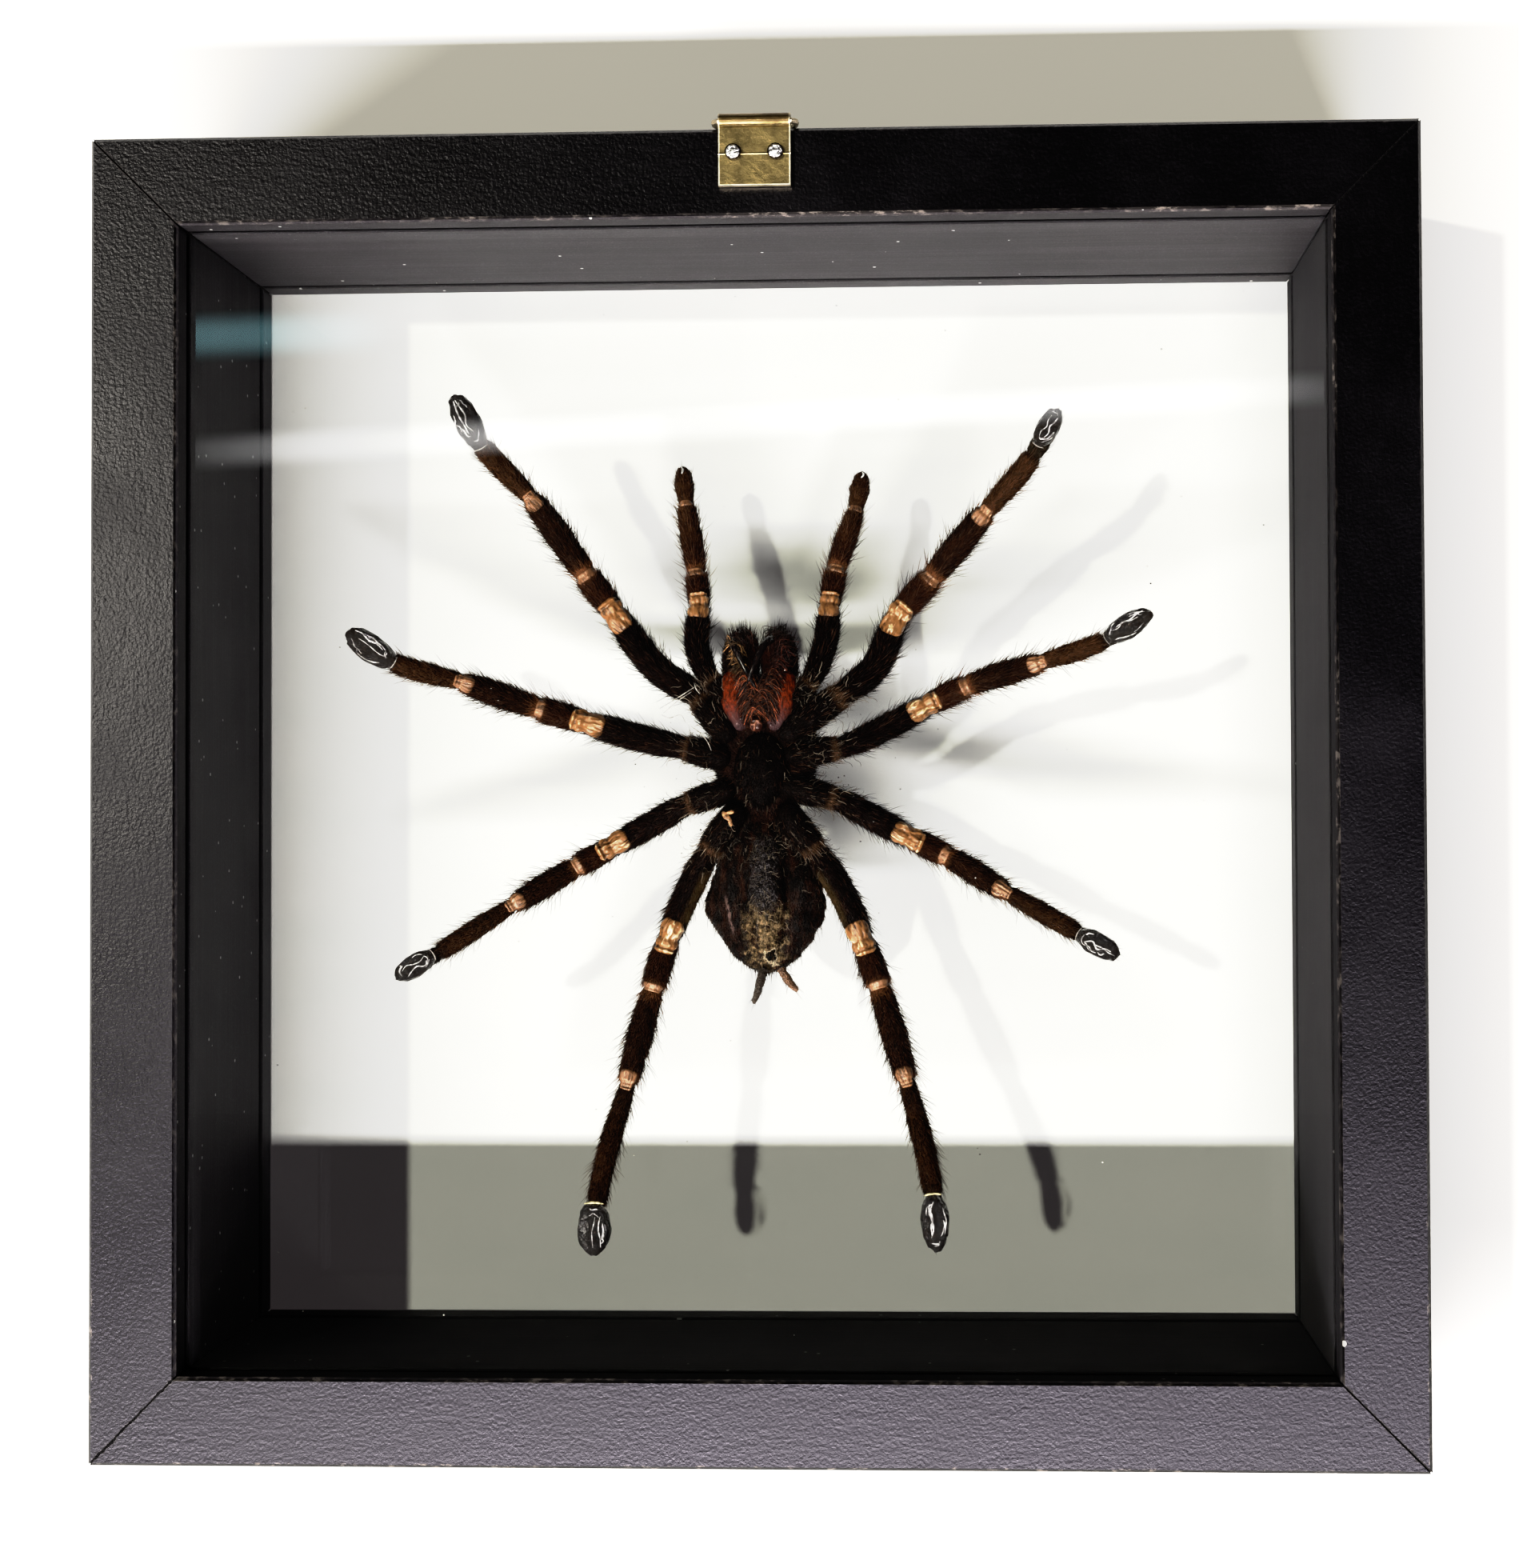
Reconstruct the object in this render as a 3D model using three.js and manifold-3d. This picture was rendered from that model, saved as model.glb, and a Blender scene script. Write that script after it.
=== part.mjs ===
// A tarantula mounted belly up between two panes of glass in a deep black wooden box frame.
// Units are millimetres. The frame lies on its front face, so its back looks up: +Z is towards the
// back, +Y towards the edge with the hanger, and the origin is under the middle of the whole part.
import * as THREE from 'three';
import { mergeVertices } from 'three/addons/utils/BufferGeometryUtils.js';
import Module from 'manifold-3d';

const wasm = await Module();
wasm.setup();

// ---- driving dimensions ----
const FRAME_SIDE = 230;
const RAIL_WIDTH = 15.3;
const BACK_LIP = 4.2;
const GROOVE_WIDTH = 3;
const CAVITY_DEPTH = 34.2;
const FRONT_LIP = 4.9;
const GROOVE_DEPTH = 4;
const EASED_EDGE = 0.6;
const GAP = 0.3;
const GLASS = GROOVE_WIDTH - 2 * GAP;

const STRAP_WIDTH = 12.4;
const STRAP_SHEET = 0.45;
const STRAP_LENGTH = 12.5;
const HANGER_MIDDLE = 1.1;
const HINGE_BEYOND_EDGE = 0.9;
const RING_WIRE = 1.1;
const RING_WIDTH = 15.2;
const RING_DROP = 12.5;
const NAIL_HEAD = 2.8;
const NAIL_SHANK = 1.2;
const NAIL_LENGTH = 9;
const NAIL_SPACING = 7.3;
const NAIL_FROM_EDGE = 4.6;

// ---- sizes that follow ----
const FRAME_DEPTH = BACK_LIP + 2 * GROOVE_WIDTH + CAVITY_DEPTH + FRONT_LIP;
const HALF = FRAME_SIDE / 2;
const OPENING = FRAME_SIDE - 2 * RAIL_WIDTH;
const FRONT_GLASS_Z = FRONT_LIP + GROOVE_WIDTH / 2;
const BACK_GLASS_Z = FRAME_DEPTH - BACK_LIP - GROOVE_WIDTH / 2;
const BACK_GLASS_INSIDE = BACK_GLASS_Z - GLASS / 2;
const BARREL_BORE = RING_WIRE / 2 + GAP;
const BARREL_RADIUS = BARREL_BORE + STRAP_SHEET;
const HINGE_Y = HALF + HINGE_BEYOND_EDGE;
const HINGE_Z = FRAME_DEPTH + GAP + STRAP_SHEET;
const NAIL_Y = HALF - NAIL_FROM_EDGE;
const OVERHANG = HINGE_BEYOND_EDGE + BARREL_RADIUS;

// ---- finishes ----
const finish = (colour, roughness, metalness = 0) =>
  new THREE.MeshStandardMaterial({ color: colour, roughness, metalness });
const BLACK_PAINT = finish(0x171517, 0.5);
const CLEAR_GLASS = finish(0xeaf2ee, 0.05);
const BRASS = finish(0xa8935a, 0.4, 1);
const STEEL = finish(0xc9c9c6, 0.3, 1);
const CLEAR_GLUE = finish(0xf2f0ea, 0.1);
const DARK_CUTICLE = finish(0x1d120d, 0.7);
const FANG_BLACK = finish(0x0c0808, 0.3);
const SPINNERET_BROWN = finish(0x4a3626, 0.8);

// ---- solids ----
function toSolid(geometry) {
  geometry.deleteAttribute('normal');
  geometry.deleteAttribute('uv');
  const merged = mergeVertices(geometry, 1e-4);
  return new wasm.Manifold(new wasm.Mesh({
    numProp: 3,
    vertProperties: Float32Array.from(merged.attributes.position.array),
    triVerts: Uint32Array.from(merged.index.array),
  }));
}

function toGeometry(solid) {
  const mesh = solid.getMesh();
  const geometry = new THREE.BufferGeometry();
  geometry.setAttribute('position', new THREE.BufferAttribute(mesh.vertProperties, 3));
  geometry.setIndex(new THREE.BufferAttribute(mesh.triVerts, 1));
  geometry.computeVertexNormals();
  return geometry;
}

function join(solids) {
  return solids.reduce((whole, piece) => whole.add(piece));
}

const object = new THREE.Group();
object.position.y = -OVERHANG / 2;

function addPiece(name, geometry, material) {
  const mesh = new THREE.Mesh(geometry, material);
  mesh.name = name;
  object.add(mesh);
  return mesh;
}

// ---- the frame: four grooved, mitred rails and two panes ----
function railSection() {
  const back = FRAME_DEPTH;
  const grooves = [
    [FRONT_LIP, FRONT_LIP + GROOVE_WIDTH],
    [back - BACK_LIP - GROOVE_WIDTH, back - BACK_LIP],
  ];
  const section = new THREE.Shape();
  section.moveTo(EASED_EDGE, 0);
  section.lineTo(RAIL_WIDTH - EASED_EDGE, 0);
  section.lineTo(RAIL_WIDTH, EASED_EDGE);
  for (const [low, high] of grooves) {
    section.lineTo(RAIL_WIDTH, low);
    section.lineTo(RAIL_WIDTH - GROOVE_DEPTH, low);
    section.lineTo(RAIL_WIDTH - GROOVE_DEPTH, high);
    section.lineTo(RAIL_WIDTH, high);
  }
  section.lineTo(RAIL_WIDTH, back - EASED_EDGE);
  section.lineTo(RAIL_WIDTH - EASED_EDGE, back);
  section.lineTo(EASED_EDGE, back);
  section.lineTo(0, back - EASED_EDGE);
  section.lineTo(0, EASED_EDGE);
  return section;
}

// The rail runs along +X with its outer face on Y = 0 and both ends cut back at 45 degrees.
function railSolid() {
  const mitreGap = GAP / Math.SQRT2;
  const geometry = new THREE.ExtrudeGeometry(railSection(), { depth: FRAME_SIDE, bevelEnabled: false });
  const position = geometry.attributes.position;
  for (let i = 0; i < position.count; i++) {
    const inwards = position.getX(i);
    const cut = inwards + mitreGap;
    const along = position.getZ(i) < HALF ? cut : FRAME_SIDE - cut;
    position.setXYZ(i, along - HALF, inwards, position.getY(i));
  }
  return toSolid(geometry);
}

// A nail hole, a little wider than the shank, drilled down from the back face.
function nailHole(x) {
  const depth = NAIL_LENGTH + 2 * GAP;
  const hole = new THREE.CylinderGeometry(NAIL_SHANK / 2 + GAP, NAIL_SHANK / 2 + GAP, 2 * depth, 12);
  hole.rotateX(Math.PI / 2);
  hole.translate(x, NAIL_Y, FRAME_DEPTH);
  return toSolid(hole);
}

const nailPlaces = [HANGER_MIDDLE - NAIL_SPACING / 2, HANGER_MIDDLE + NAIL_SPACING / 2];

function addFrame() {
  const turns = { rail_bottom: 0, rail_right: 90, rail_top: 180, rail_left: 270 };
  for (const [name, turn] of Object.entries(turns)) {
    let rail = railSolid().translate([0, -HALF, 0]).rotate([0, 0, turn]);
    if (name === 'rail_top') rail = rail.subtract(nailHole(nailPlaces[0])).subtract(nailHole(nailPlaces[1]));
    addPiece(name, toGeometry(rail), BLACK_PAINT);
  }
  const paneSide = OPENING + 2 * (GROOVE_DEPTH - GAP);
  for (const [name, z] of [['back_glass', BACK_GLASS_Z], ['front_glass', FRONT_GLASS_Z]]) {
    addPiece(name, new THREE.BoxGeometry(paneSide, paneSide, GLASS), CLEAR_GLASS).position.z = z;
  }
}

// ---- the hanger: a folded brass strap, two nails and a triangular wire ring ----
function strapSolid() {
  const section = new THREE.Shape();
  const leafEnd = BARREL_RADIUS - STRAP_LENGTH;
  const leaf = Math.asin(STRAP_SHEET / BARREL_RADIUS);
  section.moveTo(leafEnd, STRAP_SHEET);
  section.lineTo(leafEnd, -STRAP_SHEET);
  section.absarc(0, 0, BARREL_RADIUS, -Math.PI + leaf, Math.PI - leaf, false);
  const bore = new THREE.Path();
  bore.absarc(0, 0, BARREL_BORE, 0, 2 * Math.PI, true);
  section.holes.push(bore);
  const geometry = new THREE.ExtrudeGeometry(section, {
    depth: STRAP_WIDTH, bevelEnabled: false, curveSegments: 10,
  });
  geometry.translate(0, 0, -STRAP_WIDTH / 2);
  geometry.applyMatrix4(new THREE.Matrix4().set(0, 0, 1, HANGER_MIDDLE,
    1, 0, 0, HINGE_Y, 0, 1, 0, HINGE_Z, 0, 0, 0, 1));
  return toSolid(geometry).subtract(nailHole(nailPlaces[0])).subtract(nailHole(nailPlaces[1]));
}

function nailGeometry() {
  const head = NAIL_HEAD / 2;
  const shank = NAIL_SHANK / 2;
  const underHead = STRAP_SHEET * 2 + 2 * GAP;
  const outline = [[0, underHead - NAIL_LENGTH], [shank, underHead - NAIL_LENGTH + 2], [shank, underHead],
    [head, underHead], [head, underHead + 0.3], [head - 0.4, underHead + 0.5], [0, underHead + 0.6]];
  const geometry = new THREE.LatheGeometry(outline.map(([r, y]) => new THREE.Vector2(r, y)), 14);
  return geometry.rotateX(Math.PI / 2);
}

// The wire's two ends meet inside the barrel, and the loop hangs below it.
function ringGeometry() {
  const side = (RING_WIDTH - RING_WIRE) / 2;
  const bend = 0.9;
  const foot = 1.6;
  const v = (x, z) => new THREE.Vector3(x, 0, z);
  const path = new THREE.CurvePath();
  path.add(new THREE.LineCurve3(v(GAP, 0), v(side - bend, 0)));
  path.add(new THREE.QuadraticBezierCurve3(v(side - bend, 0), v(side, 0), v(side, -bend)));
  path.add(new THREE.LineCurve3(v(side, -bend), v(side, -bend * 2)));
  path.add(new THREE.LineCurve3(v(side, -bend * 2), v(foot, -RING_DROP + 1.5)));
  path.add(new THREE.QuadraticBezierCurve3(v(foot, 1.5 - RING_DROP), v(0, -RING_DROP), v(-foot, 1.5 - RING_DROP)));
  path.add(new THREE.LineCurve3(v(-foot, -RING_DROP + 1.5), v(-side, -bend * 2)));
  path.add(new THREE.LineCurve3(v(-side, -bend * 2), v(-side, -bend)));
  path.add(new THREE.QuadraticBezierCurve3(v(-side, -bend), v(-side, 0), v(bend - side, 0)));
  path.add(new THREE.LineCurve3(v(bend - side, 0), v(-GAP, 0)));
  const wire = new THREE.Shape().absarc(0, 0, RING_WIRE / 2, 0, 2 * Math.PI, false);
  return new THREE.ExtrudeGeometry(wire, {
    steps: 48, curveSegments: 4, bevelEnabled: false, extrudePath: path,
  });
}

function addHanger() {
  addPiece('hanger_strap', toGeometry(strapSolid()), BRASS);
  ['left_nail', 'right_nail'].forEach((name, i) => {
    addPiece(name, nailGeometry(), STEEL).position.set(nailPlaces[i], NAIL_Y, FRAME_DEPTH);
  });
  addPiece('hanger_ring', ringGeometry(), BRASS).position.set(HANGER_MIDDLE, HINGE_Y, HINGE_Z);
}

// ---- the tarantula ----
// Heights above the ground of the stations along each leg and each pedipalp. The feet are glued to
// the back pane; the pedipalps reach forward and down, clear of both panes.
const LEG_LEVELS = [32.8, 31.3, 28.8, 27.8, 29.3, 33.8, 38.8, 39.6];
const PALP_LEVELS = [32.3, 30.8, 27.6, 24.9, 22.8, 20.4, 18.6];

// Plan of each leg: inner end of the coxa, trochanter, middle of the femur, patella, tibia,
// metatarsus, tarsus and tip. stout scales its thickness.
const LEGS = {
  right_leg_1: { stout: 1.05, plan: [[-5, 10.2], [-10.8, 17.6], [-18.5, 22.7], [-27, 33.5], [-32, 40.5],
    [-41.1, 53.8], [-48.8, 62.6], [-53.1, 71.1]] },
  right_leg_2: { stout: 1, plan: [[-5.4, 6.8], [-13.4, 8.7], [-22.2, 10.7], [-32.2, 13.6], [-40.6, 16.2],
    [-53.8, 20.8], [-64.8, 24.2], [-72.2, 29.4]] },
  right_leg_3: { stout: 0.93, plan: [[-4.6, 1.5], [-12.9, -1.2], [-20.1, -4.9], [-27.5, -9], [-33.8, -12.6],
    [-44.4, -19.3], [-56.4, -27.4], [-63.5, -31.7]] },
  right_leg_4: { stout: 1, plan: [[-3.4, -1.6], [-9.3, -9.6], [-13.2, -16.6], [-17.2, -25.6], [-19.9, -34.8],
    [-23.8, -51.2], [-28.4, -72.3], [-28.5, -80.2]] },
  left_leg_1: { stout: 1.05, plan: [[3.7, 10.5], [14.4, 18], [20.4, 23.2], [24.7, 32.5], [30.9, 39.4],
    [40.7, 50.5], [48.9, 59.6], [53.5, 67.4]] },
  left_leg_2: { stout: 0.95, plan: [[4.1, 7.2], [13.8, 8.5], [21.8, 12], [29.8, 16.3], [37.2, 19.7],
    [50.4, 23.6], [61.3, 27], [69.4, 31.7]] },
  left_leg_3: { stout: 0.95, plan: [[3.6, 2.2], [13.2, -0.4], [20, -3.9], [26.7, -7.6], [33.4, -10.9],
    [43.9, -17.2], [56.5, -24.3], [63.4, -28.2]] },
  left_leg_4: { stout: 1.02, plan: [[3.8, -1.8], [9.7, -9.6], [14.2, -17.1], [18, -26], [21.1, -34.4],
    [26.1, -50.7], [30.8, -69.8], [31.5, -79.4]] },
};

// Plan of each pedipalp: inner end of the coxa, trochanter, middle of the femur, patella, tibia,
// tarsus and tip.
const PALPS = {
  right_pedipalp: { stout: 0.9, plan: [[-4.2, 15], [-9, 20.8], [-12, 27.7], [-11.9, 34.8], [-12.7, 41.3],
    [-14.9, 54.6], [-15.8, 61.8]] },
  left_pedipalp: { stout: 0.9, plan: [[3.6, 15], [8.6, 20.2], [11.4, 27.6], [12.1, 34.8], [13.2, 41.8],
    [16.7, 53.3], [17.9, 60.5]] },
};

// Diameters of each article at its near end, its middle and its far end.
const LEG_ARTICLES = [[4.6, 5.4, 4.8], [4, 4.8, 4.8], [4.8, 4.8, 4.2], [4.2, 4.6, 4.4], [4, 4.5, 3.8],
  [3, 3.6, 3.4], [2.6, 3.4, 2.4]];
const PALP_ARTICLES = [[4.6, 5.6, 4.8], [4, 4.8, 4.8], [4.8, 4.8, 4.2], [4.2, 4.6, 4.4], [4, 4.5, 3.6],
  [3, 4.2, 2.8]];
const ARTICLE_SIDES = 8;
const ABDOMEN_FLATNESS = 0.74;
const ABDOMEN_LEVEL = 26.6;

const UP = new THREE.Vector3(0, 1, 0);

// One hard-shelled article: a barrel from one joint to the next, with rounded ends.
function article(from, to, diameters, grow = 0) {
  const [near, middle, far] = diameters.map((diameter) => diameter / 2 + grow);
  const axis = to.clone().sub(from);
  const length = axis.length();
  const outline = [[0, -near * 0.5], [near, near * 0.15], [middle, length / 2], [far, length - far * 0.15],
    [0, length + far * 0.5]];
  const geometry = new THREE.LatheGeometry(outline.map(([r, y]) => new THREE.Vector2(r, y)), ARTICLE_SIDES);
  geometry.applyQuaternion(new THREE.Quaternion().setFromUnitVectors(UP, axis.normalize()));
  return toSolid(geometry.translate(from.x, from.y, from.z));
}

function stations(limb, levels) {
  return limb.plan.map(([x, y], i) => new THREE.Vector3(x, y, levels[i]));
}

// The articles from station first to station last, joined in one solid.
function limbSolid(limb, levels, articles, first, last, grow = 0) {
  const points = stations(limb, levels);
  const pieces = [];
  for (let i = first; i < last; i++) {
    const start = points[i].clone();
    if (i === first && first > 0) start.lerp(points[i + 1], clearOfCoxa(points[i], points[i + 1], limb.stout));
    const diameters = articles[i].map((diameter) => diameter * limb.stout);
    pieces.push(article(start, points[i + 1], diameters, grow));
  }
  return join(pieces);
}

// How far along its first article a leg starts, so that it stays clear of the coxa's rounded end.
function clearOfCoxa(trochanter, next, stout) {
  const clearance = 2.2 * stout + GAP;
  return clearance / trochanter.distanceTo(next);
}

function ellipsoid(centre, halfSizes, columns = 18, rows = 10) {
  const geometry = new THREE.SphereGeometry(1, columns, rows);
  geometry.rotateX(Math.PI / 2);
  geometry.scale(...halfSizes);
  return toSolid(geometry.translate(...centre));
}

const legEntries = Object.entries(LEGS);
const palpEntries = Object.entries(PALPS);

function coxae(grow = 0) {
  const legs = legEntries.map(([, leg]) => limbSolid(leg, LEG_LEVELS, LEG_ARTICLES, 0, 1, grow));
  const palps = palpEntries.map(([, palp]) => limbSolid(palp, PALP_LEVELS, PALP_ARTICLES, 0, 1, grow));
  return join([...legs, ...palps]);
}

function maxillae() {
  const lobes = [-1, 1].map((side) => article(new THREE.Vector3(0.4 + side * 4.6, 21.5, 33.4),
    new THREE.Vector3(0.1 + side * 2.7, 12.5, 33.6), [3.6, 4.8, 3]));
  return join(lobes);
}

// The head and trunk: domed carapace, flat sternum, the ten coxae with the maxillae, and the labium.
function prosomaSolid() {
  const carapace = ellipsoid([0.6, 8.6, 29.3], [9.4, 13.4, 5.6]);
  const sternum = ellipsoid([0.3, 4.6, 33.8], [4.6, 6.4, 1.9], 14, 8);
  const labium = ellipsoid([-0.4, 12.4, 34.2], [1.4, 1.6, 1.5], 10, 6);
  const trunk = join([carapace, sternum, labium, coxae(), maxillae()]);
  return trunk.subtract(cheliceraeSolids(GAP)[0]).subtract(cheliceraeSolids(GAP)[1]);
}

function cheliceraeSolids(grow = 0) {
  return [-1, 1].map((side) => article(new THREE.Vector3(0.1 + side * 3.5, 17.2, 28.6),
    new THREE.Vector3(-0.4 + side * 3.75, 28.4, 29.4), [5.4, 6.5, 5.6], grow));
}

// Each fang bends back from the tip of its chelicera, and the two cross below it.
function fangSolid(side, height) {
  const base = new THREE.Vector3(-0.5 + side * 2.3, 26.3, height - 0.4);
  const bend = new THREE.Vector3(-0.9 + side * 0.9, 24.4, height);
  const tip = new THREE.Vector3(-0.9 - side * 1.2, 19.4, height);
  return join([article(base, bend, [1.7, 1.6, 1.3]), article(bend, tip, [1.4, 1.1, 0.4])]);
}

// The shrunken abdomen: an egg, flattened, and hollowed where the last legs' bases press into it.
function abdomenSolid() {
  const outline = [[0, -31.9], [3.2, -31.3], [7.4, -29.2], [10.4, -25], [11.3, -20], [10.2, -15],
    [7.6, -10.5], [4.6, -7], [0, -5.4]];
  const egg = new THREE.LatheGeometry(outline.map(([r, y]) => new THREE.Vector2(r, y)), 18);
  egg.scale(1, 1, ABDOMEN_FLATNESS);
  let abdomen = toSolid(egg.translate(0.5, 0, ABDOMEN_LEVEL)).subtract(coxae(GAP));
  for (const name of ['right_leg_4', 'left_leg_4']) {
    abdomen = abdomen.subtract(limbSolid(LEGS[name], LEG_LEVELS, LEG_ARTICLES, 1, 3, GAP));
  }
  return abdomen.subtract(ellipsoid([0.6, 8.6, 29.3], [9.7, 13.7, 5.9]));
}

const SPINNERETS = {
  right_spinneret: [[0.2, -32.2, 29.6], [-0.6, -34.6, 30.8], [-1.4, -37.2, 31.6]],
  left_spinneret: [[3.4, -32, 29.6], [5, -33.5, 30.6], [6.5, -34.9, 31.2]],
};

function spinneretSolid(points) {
  const [root, middle, tip] = points.map((point) => new THREE.Vector3(...point));
  return join([article(root, middle, [1.4, 1.5, 1.3]), article(middle, tip, [1.3, 1.3, 0.9])]);
}

// A dab of glue between the back pane and the end of a leg.
function glueGeometry(tip, heel) {
  const dab = [[0, 0], [1.7, 0], [1.5, 0.4], [0, 0.6]].map(([r, y]) => new THREE.Vector2(r, -y));
  const geometry = new THREE.LatheGeometry(dab.reverse(), 12).rotateX(Math.PI / 2);
  geometry.scale(1.9, 1, 1);
  geometry.rotateZ(Math.atan2(tip.y - heel.y, tip.x - heel.x));
  const middle = tip.clone().lerp(heel, 0.35);
  return geometry.translate(middle.x, middle.y, BACK_GLASS_INSIDE - GAP);
}

function addLimbs(entries, levels, articles) {
  for (const [name, limb] of entries) {
    const last = limb.plan.length - 1;
    addPiece(name, toGeometry(limbSolid(limb, levels, articles, 1, last)), DARK_CUTICLE);
  }
}

function addGlue() {
  for (const [name, leg] of legEntries) {
    const points = stations(leg, LEG_LEVELS);
    const last = points.length - 1;
    addPiece(`${name}_glue`, glueGeometry(points[last], points[last - 1]), CLEAR_GLUE);
  }
}

function addTarantula() {
  addPiece('cephalothorax', toGeometry(prosomaSolid()), DARK_CUTICLE);
  addPiece('abdomen', toGeometry(abdomenSolid()), DARK_CUTICLE);
  const [rightChelicera, leftChelicera] = cheliceraeSolids();
  addPiece('right_chelicera', toGeometry(rightChelicera), DARK_CUTICLE);
  addPiece('left_chelicera', toGeometry(leftChelicera), DARK_CUTICLE);
  addPiece('right_fang', toGeometry(fangSolid(-1, 34)), FANG_BLACK);
  addPiece('left_fang', toGeometry(fangSolid(1, 35.9)), FANG_BLACK);
  for (const [name, points] of Object.entries(SPINNERETS)) {
    addPiece(name, toGeometry(spinneretSolid(points)), SPINNERET_BROWN);
  }
  addLimbs(legEntries, LEG_LEVELS, LEG_ARTICLES);
  addLimbs(palpEntries, PALP_LEVELS, PALP_ARTICLES);
  addGlue();
}

addFrame();
addHanger();
addTarantula();

export default object;
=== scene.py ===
"""A tarantula mounted belly up between two panes of glass in a deep black box frame: its looks."""
import math

import bmesh
import bpy
import numpy as np
from bpy.props import FloatProperty, FloatVectorProperty, IntProperty, PointerProperty
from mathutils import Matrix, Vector, noise


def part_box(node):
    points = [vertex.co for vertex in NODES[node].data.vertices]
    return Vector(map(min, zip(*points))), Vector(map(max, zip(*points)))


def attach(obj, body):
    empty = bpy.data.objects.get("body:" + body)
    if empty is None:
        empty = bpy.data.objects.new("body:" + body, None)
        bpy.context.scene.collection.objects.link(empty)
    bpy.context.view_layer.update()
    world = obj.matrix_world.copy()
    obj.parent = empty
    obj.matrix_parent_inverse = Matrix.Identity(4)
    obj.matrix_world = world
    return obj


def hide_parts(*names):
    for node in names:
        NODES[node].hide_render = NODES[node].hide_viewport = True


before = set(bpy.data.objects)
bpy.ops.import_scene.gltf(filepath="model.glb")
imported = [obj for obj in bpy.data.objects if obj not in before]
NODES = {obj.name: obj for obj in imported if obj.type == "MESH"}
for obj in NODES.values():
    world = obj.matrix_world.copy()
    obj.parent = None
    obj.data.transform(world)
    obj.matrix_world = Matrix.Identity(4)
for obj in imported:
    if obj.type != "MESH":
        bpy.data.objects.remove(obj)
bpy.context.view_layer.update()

bl_info = {
    "name": "Framed tarantula specimen",
    "version": (1, 0, 0),
    "blender": (4, 5, 0),
    "location": "3D View > Sidebar > Specimen",
    "description": "Hair, skin, glass, paint and light for a tarantula in a glazed box frame",
    "category": "Object",
}

MM = 0.001

# The part is built round the middle of its wooden frame, which the hanger pushes this far (mm) off
# the middle of the whole part.
FRAME_Y = -1.1
HALF_OPENING = 99.7
BACK_GLASS_INSIDE = 42.4
FRAME_DEPTH = 49.3
# How far (mm) from the middle the inner walls and the outer edges of the rails stand.
WALL_FACE = HALF_OPENING + 0.3
RAIL_RIM = HALF_OPENING + 14.9
# The painted light and shade of the inner walls changes from this far (m) on one side of the middle
# to the other.
WALL_REACH = 0.0985

RAILS = ("rail_top", "rail_bottom", "rail_left", "rail_right")
PANES = ("back_glass", "front_glass")
HANGER = ("hanger_strap", "hanger_ring")
NAILS = ("left_nail", "right_nail")

# Heights (mm) of the stations along each leg and each pedipalp.
LEG_LEVELS = (32.8, 31.3, 28.8, 27.8, 29.3, 33.8, 38.8, 39.6)
PALP_LEVELS = (32.3, 30.8, 27.6, 24.9, 22.8, 20.4, 18.6)

# Plan (mm) of each limb: inner end of the coxa, trochanter, middle of the femur, patella, tibia,
# metatarsus (legs only), tarsus and tip. The first number scales its thickness.
LIMBS = {
    "right_leg_1": (1.05, ((-5, 10.2), (-10.8, 17.6), (-18.5, 22.7), (-27, 33.5), (-32, 40.5),
                           (-41.1, 53.8), (-48.8, 62.6), (-53.1, 71.1))),
    "right_leg_2": (1.0, ((-5.4, 6.8), (-13.4, 8.7), (-22.2, 10.7), (-32.2, 13.6), (-40.6, 16.2),
                          (-53.8, 20.8), (-64.8, 24.2), (-72.2, 29.4))),
    "right_leg_3": (0.93, ((-4.6, 1.5), (-12.9, -1.2), (-20.1, -4.9), (-27.5, -9), (-33.8, -12.6),
                           (-44.4, -19.3), (-56.4, -27.4), (-63.5, -31.7))),
    "right_leg_4": (1.0, ((-3.4, -1.6), (-9.3, -9.6), (-13.2, -16.6), (-17.2, -25.6),
                          (-19.9, -34.8), (-23.8, -51.2), (-28.4, -72.3), (-28.5, -80.2))),
    "left_leg_1": (1.05, ((3.7, 10.5), (14.4, 18), (20.4, 23.2), (24.7, 32.5), (30.9, 39.4),
                          (40.7, 50.5), (48.9, 59.6), (53.5, 67.4))),
    "left_leg_2": (0.95, ((4.1, 7.2), (13.8, 8.5), (21.8, 12), (29.8, 16.3), (37.2, 19.7),
                          (50.4, 23.6), (61.3, 27), (69.4, 31.7))),
    "left_leg_3": (0.95, ((3.6, 2.2), (13.2, -0.4), (20, -3.9), (26.7, -7.6), (33.4, -10.9),
                          (43.9, -17.2), (56.5, -24.3), (63.4, -28.2))),
    "left_leg_4": (1.02, ((3.8, -1.8), (9.7, -9.6), (14.2, -17.1), (18, -26), (21.1, -34.4),
                          (26.1, -50.7), (30.8, -69.8), (31.5, -79.4))),
    "right_pedipalp": (0.9, ((-4.2, 15), (-9, 20.8), (-12, 27.7), (-11.9, 34.8), (-12.7, 41.3),
                             (-14.9, 54.6), (-15.8, 61.8))),
    "left_pedipalp": (0.9, ((3.6, 15), (8.6, 20.2), (11.4, 27.6), (12.1, 34.8), (13.2, 41.8),
                            (16.7, 53.3), (17.9, 60.5))),
}
LEGS = [name for name in LIMBS if "leg" in name]
PALPS = [name for name in LIMBS if "palp" in name]

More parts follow.
